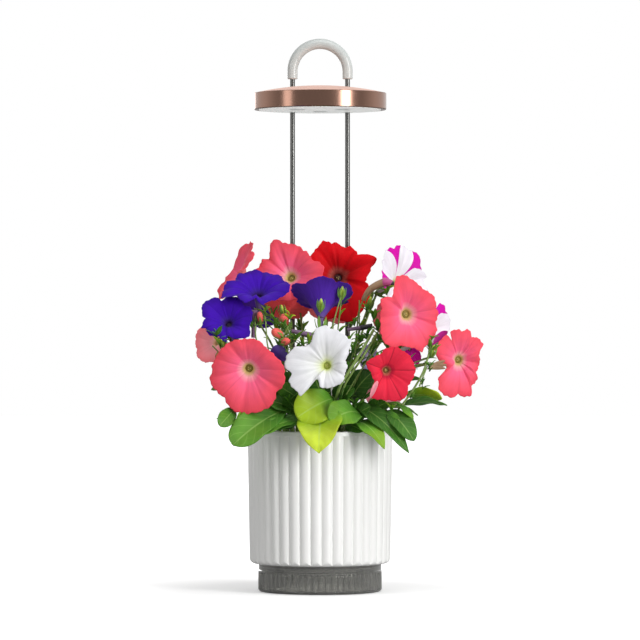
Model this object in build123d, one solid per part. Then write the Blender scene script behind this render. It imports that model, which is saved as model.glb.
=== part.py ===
from build123d import *
import math
import os

# Countertop hydroponic garden: a smoked water tank, a ribbed white pot that stands on it,
# a planting basket with wicking feet, and a round grow lamp that slides on two steel rods
# under a loop handle. Petunias grow from the basket.
# Millimetres, +Z up, +Y to the back. The origin is on the table, on the pot's own axis.

# ---------------------------------------------------------------- driving dimensions
# Water tank
TANK_RADIUS = 61.7
TANK_COLLAR_RADIUS = 61.2
TANK_BORE_RADIUS = 58.5
TANK_UNDERSIDE = 0.6
TANK_FLOOR_TOP = 3.4
TANK_TOP = 28.5
FLUTE_COUNT = 60
FLUTE_TOP = 19.6
FLUTE_RADIUS = 3.2
FLUTE_DEPTH = 1.2
FOOT_DISC_RADIUS = 44.0
FOOT_DISC_THICKNESS = 1.2

# Pot
POT_FOOT = TANK_TOP
POT_FOOT_RADIUS = 70.4
POT_RIM_RADIUS = 72.5
POT_RIM_TOP = 161.5
POT_BAND_HEIGHT = 4.5
POT_CORNER = 5.5
POT_FLOOR = 3.5
POT_BORE_RADIUS = 65.2
POT_SHOULDER = 150.0
POT_MOUTH_RADIUS = 68.6
RIB_COUNT = 40
RIB_DEPTH = 2.3
RIB_RADIUS = 7.1
RIB_START = 1.3
SKIRT_RADIUS = 57.4
SKIRT_WALL = 2.4
SKIRT_DROP = 4.0
DRAIN_RADIUS = 5.0
DRAIN_Y = 47.0

# Frame: two rods and the loop
ROD_RADIUS = 2.5
ROD_X = 27.8
ROD_Y = 44.0
SOCKET_FLOOR = 58.0
SOCKET_TOP = 82.0
SLEEVE_RADIUS = 4.0
BOSS_RADIUS = 6.2
LOOP_TUBE_RADIUS = 5.25
LOOP_END = 514.8
LOOP_CENTRE = 522.8
LOOP_SOCKET_DEPTH = 12.0

# Basket
BASKET_RADIUS = 64.2
BASKET_WALL = 1.8
BASKET_FLOOR = 56.0
BASKET_BACK = 31.5
BASKET_LIP_RADIUS = 68.2
BASKET_LIP = 2.0
FOOT_RADIUS = 8.5
FOOT_WALL = 1.5
FOOT_X = 44.0
FOOT_Y = -10.0
FOOT_BOTTOM = 5.0
MEDIUM_TOP = 142.0

# Rear cover and fill cap
COVER_FRONT = 33.4
COVER_THICKNESS = 2.5
PORT_RADIUS = 10.0
PORT_Y = 52.0

# Lamp
LAMP_RADIUS = 66.4
LAMP_UNDERSIDE = 481.5
LAMP_RIM_TOP = 498.0
LAMP_CROWN = 505.5
LAMP_WALL = 2.5
LAMP_LIP = 0.8
LAMP_LIP_RADIUS = 61.2
CROWN_EDGE = LAMP_RADIUS - 0.2
CROWN_WALL = 1.8
DIFFUSER_THICKNESS = 2.2
DIFFUSER_PROUD = 0.4
LENS_PROUD = 0.4
LENS_RADIUS = 8.0
LENS_CIRCLE = 26.0
GUIDE_RADIUS = 4.5
GUIDE_CLEARANCE = 0.05
LED_BOARD_RADIUS = 50.0
SPREADER_RADIUS = 60.5
CONTROL_HEIGHT = 492.4
CONTROL_ANGLE = 15.0
BUTTON_WIDTH = 8.0
BUTTON_HEIGHT = 2.8
INLET_WIDTH = 9.0
INLET_HEIGHT = 3.2

# Plant parts
STEM_RADIUS = 1.3
LEAF_THICKNESS = 1.5
TUBE_LENGTH = 26.0
TUBE_END_RADIUS = 2.2
FUNNEL_DEPTH = 0.34
LIMB_THICKNESS = 1.6

ROD_PLACES = [(-ROD_X, ROD_Y), (ROD_X, ROD_Y)]
FOOT_PLACES = [(-FOOT_X, FOOT_Y), (FOOT_X, FOOT_Y)]


# ---------------------------------------------------------------- small helpers
def disc(radius, low, high, at=(0, 0)):
    """An upright cylinder between two heights."""
    return Pos(at[0], at[1], (low + high) / 2) * Cylinder(radius, high - low)


def ring(outer, inner, low, high, at=(0, 0)):
    """An upright tube between two heights."""
    return disc(outer, low, high, at) - disc(inner, low - 1, high + 1, at)


def block(width, depth, height, centre):
    return Pos(*centre) * Box(width, depth, height)


def polar(radius, degrees):
    """A plan position, with the angle taken from the front towards +X."""
    turn = math.radians(degrees)
    return radius * math.sin(turn), -radius * math.cos(turn)


def turned(points):
    """A solid of revolution about the Z axis from (radius, height) points."""
    outline = Plane.XZ * make_face(Polyline(*points, close=True))
    return revolve(outline, axis=Axis.Z)


def group(solids):
    return Compound(children=list(solids))


def solid_of(shape):
    """The largest solid of a boolean result."""
    return max(shape.solids(), key=lambda part: part.volume)


def half_round(radius, back, low, high):
    """A D-shaped slab: a disc cut off flat at the back."""
    cut = block(4 * radius, 2 * radius, 2 * (high - low), (0, back + radius, (low + high) / 2))
    return disc(radius, low, high) - cut


# ---------------------------------------------------------------- tank
def reservoir_tank():
    """Smoked plastic tank: fluted wall, plain collar, flat floor on a sunk foot disc."""
    body = turned([
        (0, TANK_UNDERSIDE), (TANK_RADIUS - 1.6, TANK_UNDERSIDE), (TANK_RADIUS, TANK_UNDERSIDE + 1.6),
        (TANK_RADIUS, FLUTE_TOP + 2), (TANK_COLLAR_RADIUS, FLUTE_TOP + 2.6),
        (TANK_COLLAR_RADIUS, TANK_TOP), (TANK_BORE_RADIUS, TANK_TOP),
        (TANK_BORE_RADIUS, TANK_FLOOR_TOP), (0, TANK_FLOOR_TOP),
    ])
    centre = TANK_RADIUS - FLUTE_DEPTH + FLUTE_RADIUS
    round_top = FLUTE_TOP - FLUTE_RADIUS * 0.55
    cutter = disc(FLUTE_RADIUS, TANK_UNDERSIDE + 2.4, round_top) + Pos(0, 0, round_top) * Sphere(FLUTE_RADIUS)
    flutes = [
        Pos(*polar(centre, 360 / FLUTE_COUNT * (flute + 0.5)), 0) * cutter
        for flute in range(FLUTE_COUNT)
    ]
    body = body - flutes
    return solid_of(body - disc(FOOT_DISC_RADIUS, 0, FOOT_DISC_THICKNESS))


def foot_disc():
    """Silicone disc sunk in the tank's underside, which grips the table."""
    return disc(FOOT_DISC_RADIUS, 0, FOOT_DISC_THICKNESS)


# ---------------------------------------------------------------- pot
def ribbed_wall(low, high):
    """Solid wall of convex half-round ribs that lean out with the pot's draft."""
    height = high - low
    lean = math.atan2(POT_RIM_RADIUS - POT_FOOT_RADIUS, height)
    axis_foot = Plane(origin=(0, RIB_RADIUS - POT_FOOT_RADIUS, low), z_dir=(0, -math.sin(lean), math.cos(lean)))
    rib = axis_foot * Pos(0, 0, height / 2) * Cylinder(RIB_RADIUS, height + 4)
    pitch = 360 / RIB_COUNT
    ribs = [Rot(0, 0, RIB_START + (turn + 0.5) * pitch) * rib for turn in range(RIB_COUNT)]
    inset = RIB_DEPTH + 0.4
    core = Pos(0, 0, (low + high) / 2) * Cone(POT_FOOT_RADIUS - inset, POT_RIM_RADIUS - inset, height)
    return core + ribs


def pot_shell():
    """White moulded pot: drafted ribbed wall, rounded foot, plain rim band, inner shoulder."""
    band_foot = POT_RIM_TOP - POT_BAND_HEIGHT
    outline = Plane.XZ * make_face(Polyline(
        (0, POT_FOOT), (POT_FOOT_RADIUS, POT_FOOT), (POT_RIM_RADIUS, band_foot), (0, band_foot), close=True))
    envelope = revolve(outline, axis=Axis.Z)
    foot_edge = envelope.edges().filter_by(GeomType.CIRCLE).sort_by(Axis.Z)[0]
    envelope = fillet(foot_edge, POT_CORNER)
    body = ribbed_wall(POT_FOOT, band_foot) & envelope
    band = disc(POT_RIM_RADIUS, band_foot, POT_RIM_TOP)
    band = fillet(band.edges().filter_by(GeomType.CIRCLE).sort_by(Axis.Z)[-1], 0.9)
    body = body + band
    floor_top = POT_FOOT + POT_FLOOR
    body = body - disc(POT_BORE_RADIUS, floor_top, POT_SHOULDER + 1)
    body = body - disc(POT_MOUTH_RADIUS, POT_SHOULDER, POT_RIM_TOP + 1)
    body = body + [disc(BOSS_RADIUS, floor_top - 1, SOCKET_TOP, place) for place in ROD_PLACES]
    body = body - [disc(SLEEVE_RADIUS, SOCKET_FLOOR, SOCKET_TOP + 1, place) for place in ROD_PLACES]
    body = body + ring(SKIRT_RADIUS, SKIRT_RADIUS - SKIRT_WALL, POT_FOOT - SKIRT_DROP, POT_FOOT + 1)
    body = body - ring(SKIRT_RADIUS + 1, gasket_seat(), *gasket_heights())
    body = body - [disc(FOOT_RADIUS + 0.8, POT_FOOT - 1, floor_top + 1, place) for place in FOOT_PLACES]
    body = body - disc(DRAIN_RADIUS, POT_FOOT - 1, floor_top + 1, (0, DRAIN_Y))
    return solid_of(body)


def gasket_seat():
    return SKIRT_RADIUS - 0.8


def gasket_heights():
    return POT_FOOT - 2.9, POT_FOOT - 1.1


def tank_gasket():
    """Rubber ring in a groove of the pot's skirt, inside the tank's collar."""
    return ring(TANK_BORE_RADIUS - 0.3, gasket_seat(), *gasket_heights())


def rod_sleeves():
    """Steel sleeves in the pot's two bosses, which take the rods."""
    sleeves = []
    for place in ROD_PLACES:
        sleeve = disc(SLEEVE_RADIUS, SOCKET_FLOOR, SOCKET_TOP, place)
        sleeve = sleeve + disc(BOSS_RADIUS - 0.6, SOCKET_TOP, SOCKET_TOP + 1.2, place)
        sleeves.append(sleeve - disc(ROD_RADIUS + 0.06, SOCKET_FLOOR - 1, SOCKET_TOP + 2, place))
    return group(sleeves)


def rear_cover():
    """Crescent behind the basket, with the rod holes and the fill port."""
    top = POT_SHOULDER + COVER_THICKNESS
    plate = disc(POT_MOUTH_RADIUS - 0.3, POT_SHOULDER, top)
    plate = plate - block(200, 200, 20, (0, COVER_FRONT - 100, POT_SHOULDER))
    plate = plate - [disc(ROD_RADIUS + 0.7, POT_SHOULDER - 1, top + 1, place) for place in ROD_PLACES]
    plate = plate + ring(PORT_RADIUS + 1.6, PORT_RADIUS, POT_SHOULDER - 8, POT_SHOULDER + 0.5, (0, PORT_Y))
    plate = plate - disc(PORT_RADIUS, POT_SHOULDER - 9, top + 1, (0, PORT_Y))
    return solid_of(plate)


def fill_cap():
    """Push-in plug of the fill port, with a raised grip bar."""
    seat = POT_SHOULDER + COVER_THICKNESS
    cap = disc(PORT_RADIUS - 0.3, seat - 7, seat + 0.2, (0, PORT_Y))
    cap = cap + disc(PORT_RADIUS + 2.4, seat, seat + 1.8, (0, PORT_Y))
    cap = cap - disc(PORT_RADIUS - 1.8, seat - 8, seat - 1, (0, PORT_Y))
    grip = block(15, 3, 4, (0, PORT_Y, seat + 1.8 + 1))
    return solid_of(cap + grip)


# ---------------------------------------------------------------- basket
def planting_basket():
    """D-shaped basket that hangs by its lip, with two hollow feet in the water."""
    lip_top = POT_SHOULDER + BASKET_LIP
    body = half_round(BASKET_RADIUS, BASKET_BACK, BASKET_FLOOR, lip_top)
    body = body + half_round(BASKET_LIP_RADIUS, COVER_FRONT - 0.4, POT_SHOULDER, lip_top)
    body = body + [disc(FOOT_RADIUS, FOOT_BOTTOM, BASKET_FLOOR + 1, place) for place in FOOT_PLACES]
    inside = half_round(BASKET_RADIUS - BASKET_WALL, BASKET_BACK - BASKET_WALL,
                        BASKET_FLOOR + BASKET_WALL, lip_top + 1)
    body = body - inside
    bore = FOOT_RADIUS - FOOT_WALL
    body = body - [disc(bore, FOOT_BOTTOM + FOOT_WALL, BASKET_FLOOR + 3, place) for place in FOOT_PLACES]
    slot = block(3.2, 8, 46, (0, -(BASKET_RADIUS - 1), 98))
    slots = [Rot(0, 0, angle) * slot for angle in range(-100, 101, 25)]
    body = body - slots
    water_slot = block(3, 4 * FOOT_RADIUS, 14, (0, 0, 17))
    for place in FOOT_PLACES:
        body = body - Pos(*place, 0) * water_slot
    return solid_of(body)


def wicks():
    """Felt wicks in the basket's feet."""
    radius = FOOT_RADIUS - FOOT_WALL - 0.3
    return group(disc(radius, FOOT_BOTTOM + FOOT_WALL, BASKET_FLOOR + BASKET_WALL, place)
                 for place in FOOT_PLACES)


def growing_medium():
    """Block of expanded clay and coir that fills the basket."""
    gap = 0.2
    return half_round(BASKET_RADIUS - BASKET_WALL - gap, BASKET_BACK - BASKET_WALL - gap,
                      BASKET_FLOOR + BASKET_WALL, MEDIUM_TOP)


# ---------------------------------------------------------------- frame
def rod(place):
    return chamfer(
        disc(ROD_RADIUS, SOCKET_FLOOR + 0.1, LOOP_END + LOOP_SOCKET_DEPTH, place)
        .edges().filter_by(GeomType.CIRCLE).sort_by(Axis.Z)[0], 0.5)


def handle_loop():
    """U-shaped carrying loop, a thick white tube with blind ends over the rods."""
    left, right = (-ROD_X, ROD_Y, LOOP_END), (ROD_X, ROD_Y, LOOP_END)
    left_bend, right_bend = (-ROD_X, ROD_Y, LOOP_CENTRE), (ROD_X, ROD_Y, LOOP_CENTRE)
    crown = (0, ROD_Y, LOOP_CENTRE + ROD_X)
    path = Wire([Line(left, left_bend), ThreePointArc(left_bend, crown, right_bend), Line(right_bend, right)])
    body = sweep(Plane(origin=left, z_dir=(0, 0, 1)) * Circle(LOOP_TUBE_RADIUS), path=path)
    ends = body.edges().filter_by(GeomType.CIRCLE).group_by(Axis.Z)[0]
    body = fillet(ends, 1.3)
    return solid_of(body - [
        disc(ROD_RADIUS + 0.02, LOOP_END - 1, LOOP_END + LOOP_SOCKET_DEPTH, place) for place in ROD_PLACES])


# ---------------------------------------------------------------- lamp
def at_back(shape, angle):
    """Turn a shape built at the back centre of the lamp to its own place on the ring."""
    return Rot(0, 0, angle) * shape


def pill(width, height, depth, inner):
    """A flat pill that points out through the back of the lamp's ring."""
    sketch = Plane(origin=(0, inner, CONTROL_HEIGHT), x_dir=(1, 0, 0), z_dir=(0, 1, 0)) * SlotOverall(width, height)
    return extrude(sketch, amount=depth)


def lamp_rim():
    """Rose-gold aluminium ring with a thin lip that carries the diffuser."""
    inner = LAMP_RADIUS - LAMP_WALL
    body = turned([
        (LAMP_LIP_RADIUS, LAMP_UNDERSIDE), (LAMP_RADIUS - 0.7, LAMP_UNDERSIDE),
        (LAMP_RADIUS, LAMP_UNDERSIDE + 0.7), (LAMP_RADIUS, LAMP_RIM_TOP - 0.4),
        (LAMP_RADIUS - 0.4, LAMP_RIM_TOP), (inner, LAMP_RIM_TOP),
        (inner, LAMP_UNDERSIDE + LAMP_LIP), (LAMP_LIP_RADIUS, LAMP_UNDERSIDE + LAMP_LIP),
    ])
    body = body - at_back(pill(BUTTON_WIDTH + 0.3, BUTTON_HEIGHT + 0.3, 10, inner - 2), CONTROL_ANGLE)
    body = body - at_back(pill(INLET_WIDTH + 0.2, INLET_HEIGHT + 0.2, 10, inner - 2), -CONTROL_ANGLE)
    return solid_of(body)


def crown_ball():
    """Radius of the ball that the lamp's domed top is part of."""
    rise = LAMP_CROWN - LAMP_RIM_TOP
    return (CROWN_EDGE ** 2 + rise ** 2) / (2 * rise)


def crown_height(radius, drop=0.0):
    """Height of the lamp's domed top at a distance from its axis."""
    return LAMP_CROWN - crown_ball() + math.sqrt(crown_ball() ** 2 - radius ** 2) - drop


def boss_places():
    return [polar(56.0, angle) for angle in (0, 120, 240)]


def lamp_top_cover():
    """Shallow domed cover with a locating skirt and three screw posts."""
    edge, wall = CROWN_EDGE, CROWN_WALL
    inner_edge = math.sqrt(2 * crown_ball() * (LAMP_CROWN - wall - LAMP_RIM_TOP))
    mid, inner_mid = edge / 2, inner_edge / 2
    outline = Wire([
        ThreePointArc((edge, LAMP_RIM_TOP), (mid, crown_height(mid)), (0, LAMP_CROWN)),
        Line((0, LAMP_CROWN), (0, LAMP_CROWN - wall)),
        ThreePointArc((0, LAMP_CROWN - wall), (inner_mid, crown_height(inner_mid, wall)),
                      (inner_edge, LAMP_RIM_TOP)),
        Line((inner_edge, LAMP_RIM_TOP), (edge, LAMP_RIM_TOP)),
    ])
    body = revolve(Plane.XZ * Face(outline), axis=Axis.Z)
    skirt = LAMP_RADIUS - LAMP_WALL - 0.2
    body = body + ring(skirt, skirt - 1.7, CONTROL_HEIGHT + 1.8, LAMP_RIM_TOP + 0.4)
    body = body + [disc(3.2, spreader_heights()[1], LAMP_RIM_TOP + 1.2, place) for place in boss_places()]
    body = body - [disc(1.3, spreader_heights()[1] - 1, LAMP_RIM_TOP - 1, place) for place in boss_places()]
    body = body - [disc(GUIDE_RADIUS + 0.05, LAMP_RIM_TOP - 9, LAMP_CROWN + 1, place) for place in ROD_PLACES]
    return solid_of(body)


def diffuser_heights():
    low = LAMP_UNDERSIDE + LAMP_LIP
    return low, low + DIFFUSER_THICKNESS


def board_heights():
    low = diffuser_heights()[1] + 1.9
    return low, low + 1.2


def spreader_heights():
    low = board_heights()[1]
    return low, low + 1.4


def driver_heights():
    high = CONTROL_HEIGHT - INLET_HEIGHT / 2
    return high - 1.2, high


def lens_places():
    return [polar(LENS_CIRCLE, angle) for angle in (60, 180, 300)]


def lamp_diffuser():
    """White stepped plate that stands proud of the ring's lip, with three lens holes and two rod holes."""
    low, high = diffuser_heights()
    face = LAMP_UNDERSIDE - DIFFUSER_PROUD
    plate = disc(LAMP_RADIUS - LAMP_WALL - 0.2, low, high)
    plate = plate + disc(LAMP_LIP_RADIUS - 0.15, face, low)
    plate = plate - [disc(LENS_RADIUS + 0.1, face - 1, high + 1, place) for place in lens_places()]
    return solid_of(plate - [disc(GUIDE_RADIUS + 0.05, face - 1, high + 1, place) for place in ROD_PLACES])


def lamp_lenses():
    """Clear lenses with a flange over the diffuser and a soft convex face below."""
    high = diffuser_heights()[1]
    lenses = []
    for place in lens_places():
        lens = disc(LENS_RADIUS, LAMP_UNDERSIDE - DIFFUSER_PROUD - LENS_PROUD, high, place)
        lens = chamfer(lens.edges().filter_by(GeomType.CIRCLE).sort_by(Axis.Z)[0], LENS_PROUD - 0.02, 2.0)
        lenses.append(solid_of(lens + disc(LENS_RADIUS + 1.6, high, high + 0.8, place)))
    return group(lenses)


def led_board():
    low, high = board_heights()
    board = disc(LED_BOARD_RADIUS, low, high)
    return board - [disc(GUIDE_RADIUS + 0.7, low - 1, high + 1, place) for place in ROD_PLACES]


def led_emitters():
    """One square emitter over each lens."""
    top = board_heights()[0]
    return group(block(5, 5, 0.9, (*place, top - 0.45)) for place in lens_places())


def heat_spreader():
    low, high = spreader_heights()
    plate = disc(SPREADER_RADIUS, low, high)
    plate = plate - [disc(GUIDE_RADIUS + 0.1, low - 1, high + 1, place) for place in ROD_PLACES]
    return plate - [disc(1.5, low - 1, high + 1, place) for place in boss_places()]


def lamp_screws():
    """Screws that hold the heat spreader to the cover's posts."""
    low, high = spreader_heights()
    return group(
        disc(2.6, low - 1.6, low, place) + disc(1.2, low, high + 5, place) for place in boss_places())


def spacer_places():
    return [(-16, 33), (16, 33), (-12, 56), (12, 56)]


def board_spacers():
    return group(disc(1.8, spreader_heights()[1], driver_heights()[0], place) for place in spacer_places())


def driver_board():
    """Driver circuit board with its coil and capacitor, behind the lamp's centre."""
    low, high = driver_heights()
    board = block(45, 34, high - low, (0, 46, (low + high) / 2)) & disc(LAMP_RADIUS - LAMP_WALL - 0.6, low, high)
    board = board - [disc(GUIDE_RADIUS + 0.4, low - 1, high + 1, place) for place in ROD_PLACES]
    board = board + block(8, 8, 4, (-6, 38, high + 2)) + disc(3, high, high + 5, (7, 38))
    return solid_of(board)


def power_inlet():
    """Small power socket in the back of the ring: a shell with a tongue inside."""
    depth = 7.2
    inner = LAMP_RADIUS - depth - 0.1
    shell = pill(INLET_WIDTH, INLET_HEIGHT, depth, inner)
    shell = shell - pill(INLET_WIDTH - 0.7, INLET_HEIGHT - 0.7, depth, inner + 1.2)
    tongue = block(6.4, 4.6, 0.7, (0, inner + 1.2 + 2.2, CONTROL_HEIGHT))
    return at_back(solid_of(shell + tongue), -CONTROL_ANGLE)


def tact_switch():
    """Switch on the driver board that the lamp's button presses."""
    low = driver_heights()[1]
    body = block(6, 3.2, 2.9, (0, 58.6, low + 1.45)) + block(3, 0.5, 1.6, (0, 60.4, CONTROL_HEIGHT))
    return at_back(solid_of(body), CONTROL_ANGLE)


def lamp_button():
    """Push button that shows as a small pill in the back of the ring."""
    inner = 61.5
    cap = pill(BUTTON_WIDTH, BUTTON_HEIGHT, LAMP_RADIUS + 0.4 - inner, inner)
    flange = block(BUTTON_WIDTH + 2, 0.9, BUTTON_HEIGHT, (0, inner + 0.45, CONTROL_HEIGHT))
    return at_back(solid_of(cap + flange), CONTROL_ANGLE)


def guide_top():
    return crown_height(math.hypot(ROD_X, ROD_Y)) + 0.3


def rod_guides():
    """Sliding bushes that run through the lamp, each with a groove for its grip ring."""
    low = LAMP_UNDERSIDE + 0.5
    bore = ROD_RADIUS + GUIDE_CLEARANCE
    guides = []
    for place in ROD_PLACES:
        guide = ring(GUIDE_RADIUS, bore, low, guide_top(), place)
        guides.append(guide - ring(3.4, bore - 0.5, *grip_heights(), place))
    return group(guides)


def grip_heights():
    return LAMP_UNDERSIDE + 9.0, LAMP_UNDERSIDE + 11.4


def grip_rings():
    """Silicone rings that hold the lamp where it is slid to."""
    return group(ring(3.4, ROD_RADIUS + 0.02, *grip_heights(), place) for place in ROD_PLACES)


# ---------------------------------------------------------------- plants
def facing(azimuth, elevation):
    """Unit vector a bloom looks along: azimuth from the front towards +X, elevation up."""
    turn, rise = math.radians(azimuth), math.radians(elevation)
    return Vector(math.sin(turn) * math.cos(rise), -math.cos(turn) * math.cos(rise), math.sin(rise))


def bloom_frame(centre, azimuth, elevation):
    look = facing(azimuth, elevation)
    side = Vector(0, 0, 1).cross(look)
    return Plane(origin=centre, x_dir=side, z_dir=look)


def lobed_outline(lobes, radius):
    """Five petal lobes in plan, each an arc between two notches."""
    def spot(reach, degrees):
        turn = math.radians(degrees + 90)
        return radius * reach * math.cos(turn), radius * reach * math.sin(turn)

    arcs = []
    for lobe in range(5):
        before = 0.44 * (lobes[lobe - 1] + lobes[lobe])
        after = 0.44 * (lobes[lobe] + lobes[(lobe + 1) % 5])
        arcs.append(ThreePointArc(
            spot(before, 72 * lobe - 36), spot(lobes[lobe], 72 * lobe), spot(after, 72 * lobe + 36)))
    return Face(Wire(arcs))


def bloom(centre, azimuth, elevation, radius, lobes=(1, 1, 1, 1, 1), tube=TUBE_LENGTH):
    """A petunia bloom: a tapered tube that flares into an open funnel and a five-lobed limb."""
    depth = FUNNEL_DEPTH * radius
    reach = 1.15 * radius
    trumpet = turned([
        (0, -depth - tube), (TUBE_END_RADIUS, -depth - tube), (0.17 * radius, -depth),
        (0.55 * radius, -0.12 * radius), (reach, -LIMB_THICKNESS),
        (reach, 0), (0.53 * radius, LIMB_THICKNESS - 0.12 * radius),
        (0.11 * radius, 0.6 - depth), (0, -depth - 3),
    ])
    outline = extrude(Pos(0, 0, -depth - tube - 1) * lobed_outline(lobes, radius), amount=depth + tube + 4)
    return solid_of(bloom_frame(centre, azimuth, elevation) * (trumpet & outline))


def bloom_tail(centre, azimuth, elevation, radius, tube=TUBE_LENGTH):
    """Where the tube of a bloom ends and its stem begins."""
    return Vector(*centre) - facing(azimuth, elevation) * (FUNNEL_DEPTH * radius + tube)


def stem(root, tip, radius=STEM_RADIUS):
    """A stem that leaves its root upright and bends over in one arc to its tip."""
    root, tip = Vector(*root), Vector(*tip)
    span = Vector(tip.X - root.X, tip.Y - root.Y, 0)
    reach, rise = span.length, tip.Z - root.Z
    if reach < 3:
        path = Wire([Line(root, tip)])
        return sweep(Plane(origin=root, z_dir=tip - root) * Circle(radius), path=path)
    bend = (reach ** 2 + rise ** 2) / (2 * reach)
    half_turn = math.atan2(reach, rise)
    middle = root + span.normalized() * (bend * (1 - math.cos(half_turn)))
    middle = middle + Vector(0, 0, bend * math.sin(half_turn))
    path = Wire([ThreePointArc(root, middle, tip)])
    return sweep(Plane(origin=root, z_dir=(0, 0, 1)) * Circle(radius), path=path)


def leaf(base, tip, width, arch, tilt=0):
    """An ovate leaf blade, arched along its length and tilted about its own midrib."""
    base, tip = Vector(*base), Vector(*tip)
    length = (tip - base).length
    along = (tip - base).normalized()
    across = Vector(0, 0, 1).cross(along).normalized()
    normal = along.cross(across)
    frame = Plane(origin=(base + tip) * 0.5, x_dir=along, z_dir=normal).rotated((tilt, 0, 0))
    bulge = width / 2
    outline = Face(Wire([
        ThreePointArc((-length / 2, 0), (-length * 0.08, -bulge), (length / 2, 0)),
        ThreePointArc((length / 2, 0), (-length * 0.08, bulge), (-length / 2, 0)),
    ]))
    blade = Pos(0, 0, -arch - 20) * extrude(outline, amount=2 * arch + 40)
    bend = (length ** 2 / 4 + arch ** 2) / (2 * arch)
    shell = Pos(0, 0, arch - bend) * Rot(90, 0, 0) * (Cylinder(bend, 2 * width)
                                                     - Cylinder(bend - LEAF_THICKNESS, 2 * width))
    shell = shell & block(2 * length, 3 * width, 2 * bend, (0, 0, bend - bend / 3))
    return solid_of(frame.location * (blade & shell))


# Every bloom: place of its limb centre, azimuth and elevation it looks along, radius,
# the relative reach of its five lobes (anticlockwise from the top) and where its stem is rooted.
BLOOMS = {
    "bloom_coral_front_left": ((-71, -80, 222), -6, -8, 36.5, (0.83, 0.98, 1.13, 1.13, 0.98), (-24, -30)),
    "bloom_white_front": ((4, -88, 228), -8, 4, 33.0, (1.13, 1.18, 1.12, 0.74, 0.98), (-6, -34)),
    "bloom_crimson_front_right": ((68, -76, 219), 8, -4, 27.0, (0.9, 0.8, 1.1, 1.14, 1.02), (22, -34)),
    "bloom_coral_right_top": ((90, -62, 277), 24, 0, 38.0, (0.98, 0.9, 1.04, 1.04, 0.8), (30, -20)),
    "bloom_coral_far_right": ((142, -36, 231), 24, -4, 33.0, (0.9, 1, 1.16, 1.08, 0.78), (34, -14)),
    "bloom_red_back": ((18, -6, 316), 4, 10, 38.0, (0.92, 0.76, 1, 1.12, 1.08), (6, -4)),
    "bloom_coral_back_left": ((-32, 2, 318), -10, 22, 36.0, (1, 0.96, 0.8, 0.9, 1), (-12, -2)),
    "bloom_coral_far_left": ((-86, 16, 320), -80, 28, 34.5, (1, 0.9, 0.95, 0.9, 0.95), (-28, 0)),
    "bloom_violet_upper_left": ((-62, -38, 304), -6, 58, 33.0, (1, 0.95, 0.95, 0.95, 1), (-22, -14)),
    "bloom_violet_lower_left": ((-92, -54, 272), -14, 34, 26.0, (1, 0.98, 0.95, 0.95, 1), (-34, -18)),
    "bloom_violet_centre": ((2, -36, 296), 176, 58, 31.0, (0.95, 1, 1, 1, 1), (-2, -26)),
    "bloom_blush_left": ((-108, -18, 249), -40, 6, 22.0, (1, 1, 1, 1, 1), (-38, -8)),
    "bloom_red_inner": ((-32, 20, 288), 176, 44, 24.0, (1, 1, 1, 1, 1), (-16, 8)),
    "bloom_striped_top_right": ((84, 8, 309), 44, 8, 36.0, (1, 0.95, 0.8, 0.8, 0.9), (24, 4)),
    "bloom_striped_right": ((112, -8, 262), 46, 4, 24.0, (1, 0.9, 0.9, 1, 1), (34, 0)),
    "bloom_striped_low": ((90, -30, 241), 20, -14, 14.0, (1, 1, 1, 1, 1), (30, -8)),
    "bloom_lilac_inner": ((50, -26, 232), -8, -10, 15.0, (1, 1, 1, 1, 1), (18, -10)),
    "bloom_coral_rear": ((14, 84, 300), 172, 12, 35.0, (1, 1, 0.95, 0.95, 1), (2, 20)),
    "bloom_violet_rear_left": ((-58, 74, 292), 196, 18, 31.0, (1, 1, 1, 1, 1), (-18, 18)),
    "bloom_coral_rear_left": ((-74, 66, 218), 214, 0, 34.0, (1, 1, 1, 1, 1), (-30, 14)),
    "bloom_white_rear": ((-4, 96, 222), 178, 0, 32.0, (1, 0.9, 1.05, 0.9, 1), (-4, 24)),
    "bloom_coral_rear_right": ((84, 56, 268), 146, 8, 34.0, (1, 1, 1, 1, 1), (28, 14)),
    "bloom_crimson_rear_right": ((66, 78, 208), 160, -4, 27.0, (1, 0.95, 1, 1, 0.95), (22, 20)),
}

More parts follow.
